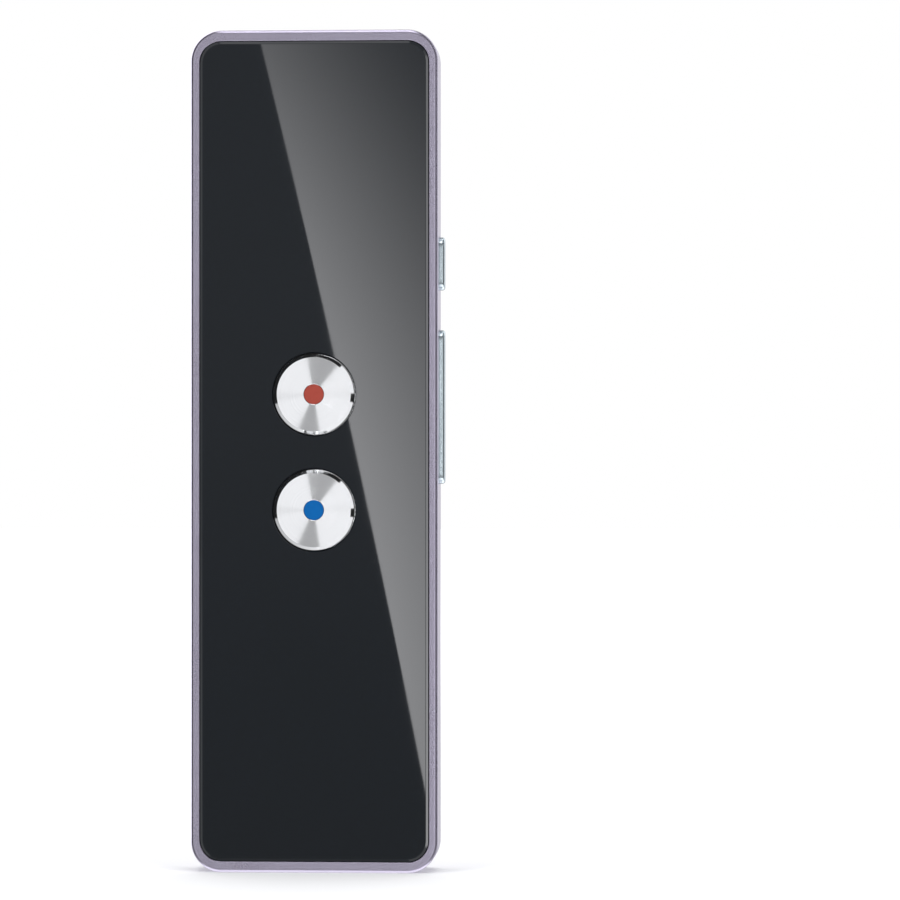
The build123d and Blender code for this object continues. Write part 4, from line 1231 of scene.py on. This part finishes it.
# %% [markdown]
# ## The floor
# A wide pale sheet keeps the soft shadow at the object's foot. A little light of its own, for the
# camera only, lifts it to the white of the world behind it: hardly any near the object, where it
# would wash the shadow out, and more far off, so that no horizon shows. Reflected rays pass
# through it, so that the panel shows the studio down to its lower end.

# %% A pale floor that keeps the shadow
floor_size = 6.0
near_lift, far_lift = 0.05, 0.8
near_edge, far_edge = 0.1, 0.9


def pale_floor():
    material, tree, place = new_finish("pale_floor")
    pale = mix_colours(noise(place, cells=40), (0.86, 0.86, 0.87), (0.88, 0.88, 0.89))
    matt = tree.node("ShaderNodeBsdfDiffuse", inputs={"Color": pale})
    distance = place.vector("LENGTH", output="Value")
    seen_by_camera = tree.node("ShaderNodeLightPath", output="Is Camera Ray")
    strength = distance.between(near_edge, far_edge, near_lift, far_lift) * seen_by_camera
    own_light = {"Color": (*white, 1.0), "Strength": strength}
    lift = tree.node("ShaderNodeEmission", inputs=own_light)
    both = tree.node("ShaderNodeAddShader", inputs={0: matt, 1: lift})
    tree.node("ShaderNodeOutputMaterial", inputs={"Surface": both})
    return material


half_floor = floor_size / 2
corners = ((-1, -1), (1, -1), (1, 1), (-1, 1))
floor_mesh = bpy.data.meshes.new("floor")
floor_mesh.from_pydata(
    [(x * half_floor, y * half_floor, body_low.z) for x, y in corners], [], [(0, 1, 2, 3)]
)
floor_mesh.materials.append(pale_floor())
floor = in_scene("floor", floor_mesh)
floor.visible_glossy = False
print("floor:", floor_size, "m wide")

# %% [markdown]
# ## Lamps
# Three soft boxes light what is matt: the enamel, the plastic and the floor. They are hidden from
# reflections, because the studio already shows its own lights there, and they face the middle of
# the body.

# %% Three soft lamps
centre = Vector((0.0, 0.0, (body_low.z + body_high.z) / 2))
lamp_power = 8.0
lamps = {
    "front_left": ((-0.9, -1.0, 0.7), 0.8),
    "front_right": ((0.9, -1.0, 0.7), 0.8),
    "overhead": ((0.0, 0.2, 1.3), 0.9),
}

for name, (place, size) in lamps.items():
    light = bpy.data.lights.new(name, "AREA")
    light.shape = "SQUARE"
    light.size = size
    light.energy = lamp_power
    lamp = in_scene(name, light)
    lamp.location = place
    lamp.rotation_euler = (centre - Vector(place)).to_track_quat("-Z", "Y").to_euler()
    lamp.visible_glossy = False
    lamp.visible_camera = False
print("lamps:", len(lamps), "of", lamp_power, "watts")

# %% [markdown]
# ## The camera
# A long lens, level with the middle of the body and a few degrees to its right, so that a hair of
# the right-hand wall shows. The object stands left of the middle of the picture. The angle of view
# follows from the width of the picture at the object, which is easier to measure than an angle.

# %% Place the camera
picture_width = 152.9 * mm
camera_distance = 700 * mm
object_offset = 22.6 * mm
eye_lift = 0.22 * mm
eye_height = centre.z + eye_lift
view_turn = math.radians(lens_turn)
camera_data = bpy.data.cameras.new("camera")
camera_data.sensor_fit = "HORIZONTAL"
camera_data.angle = 2 * math.atan(picture_width / 2 / camera_distance)
camera = in_scene("camera", camera_data)
camera.location = (
    camera_distance * math.sin(view_turn), -camera_distance * math.cos(view_turn), eye_height
)
aim = Vector((object_offset, 0.0, eye_height)) - camera.location
camera.rotation_euler = aim.to_track_quat("-Z", "Y").to_euler()
bpy.context.scene.camera = camera
bpy.context.scene.view_settings.view_transform = "Standard"
print("camera angle", round(math.degrees(camera_data.angle), 2), "degrees")
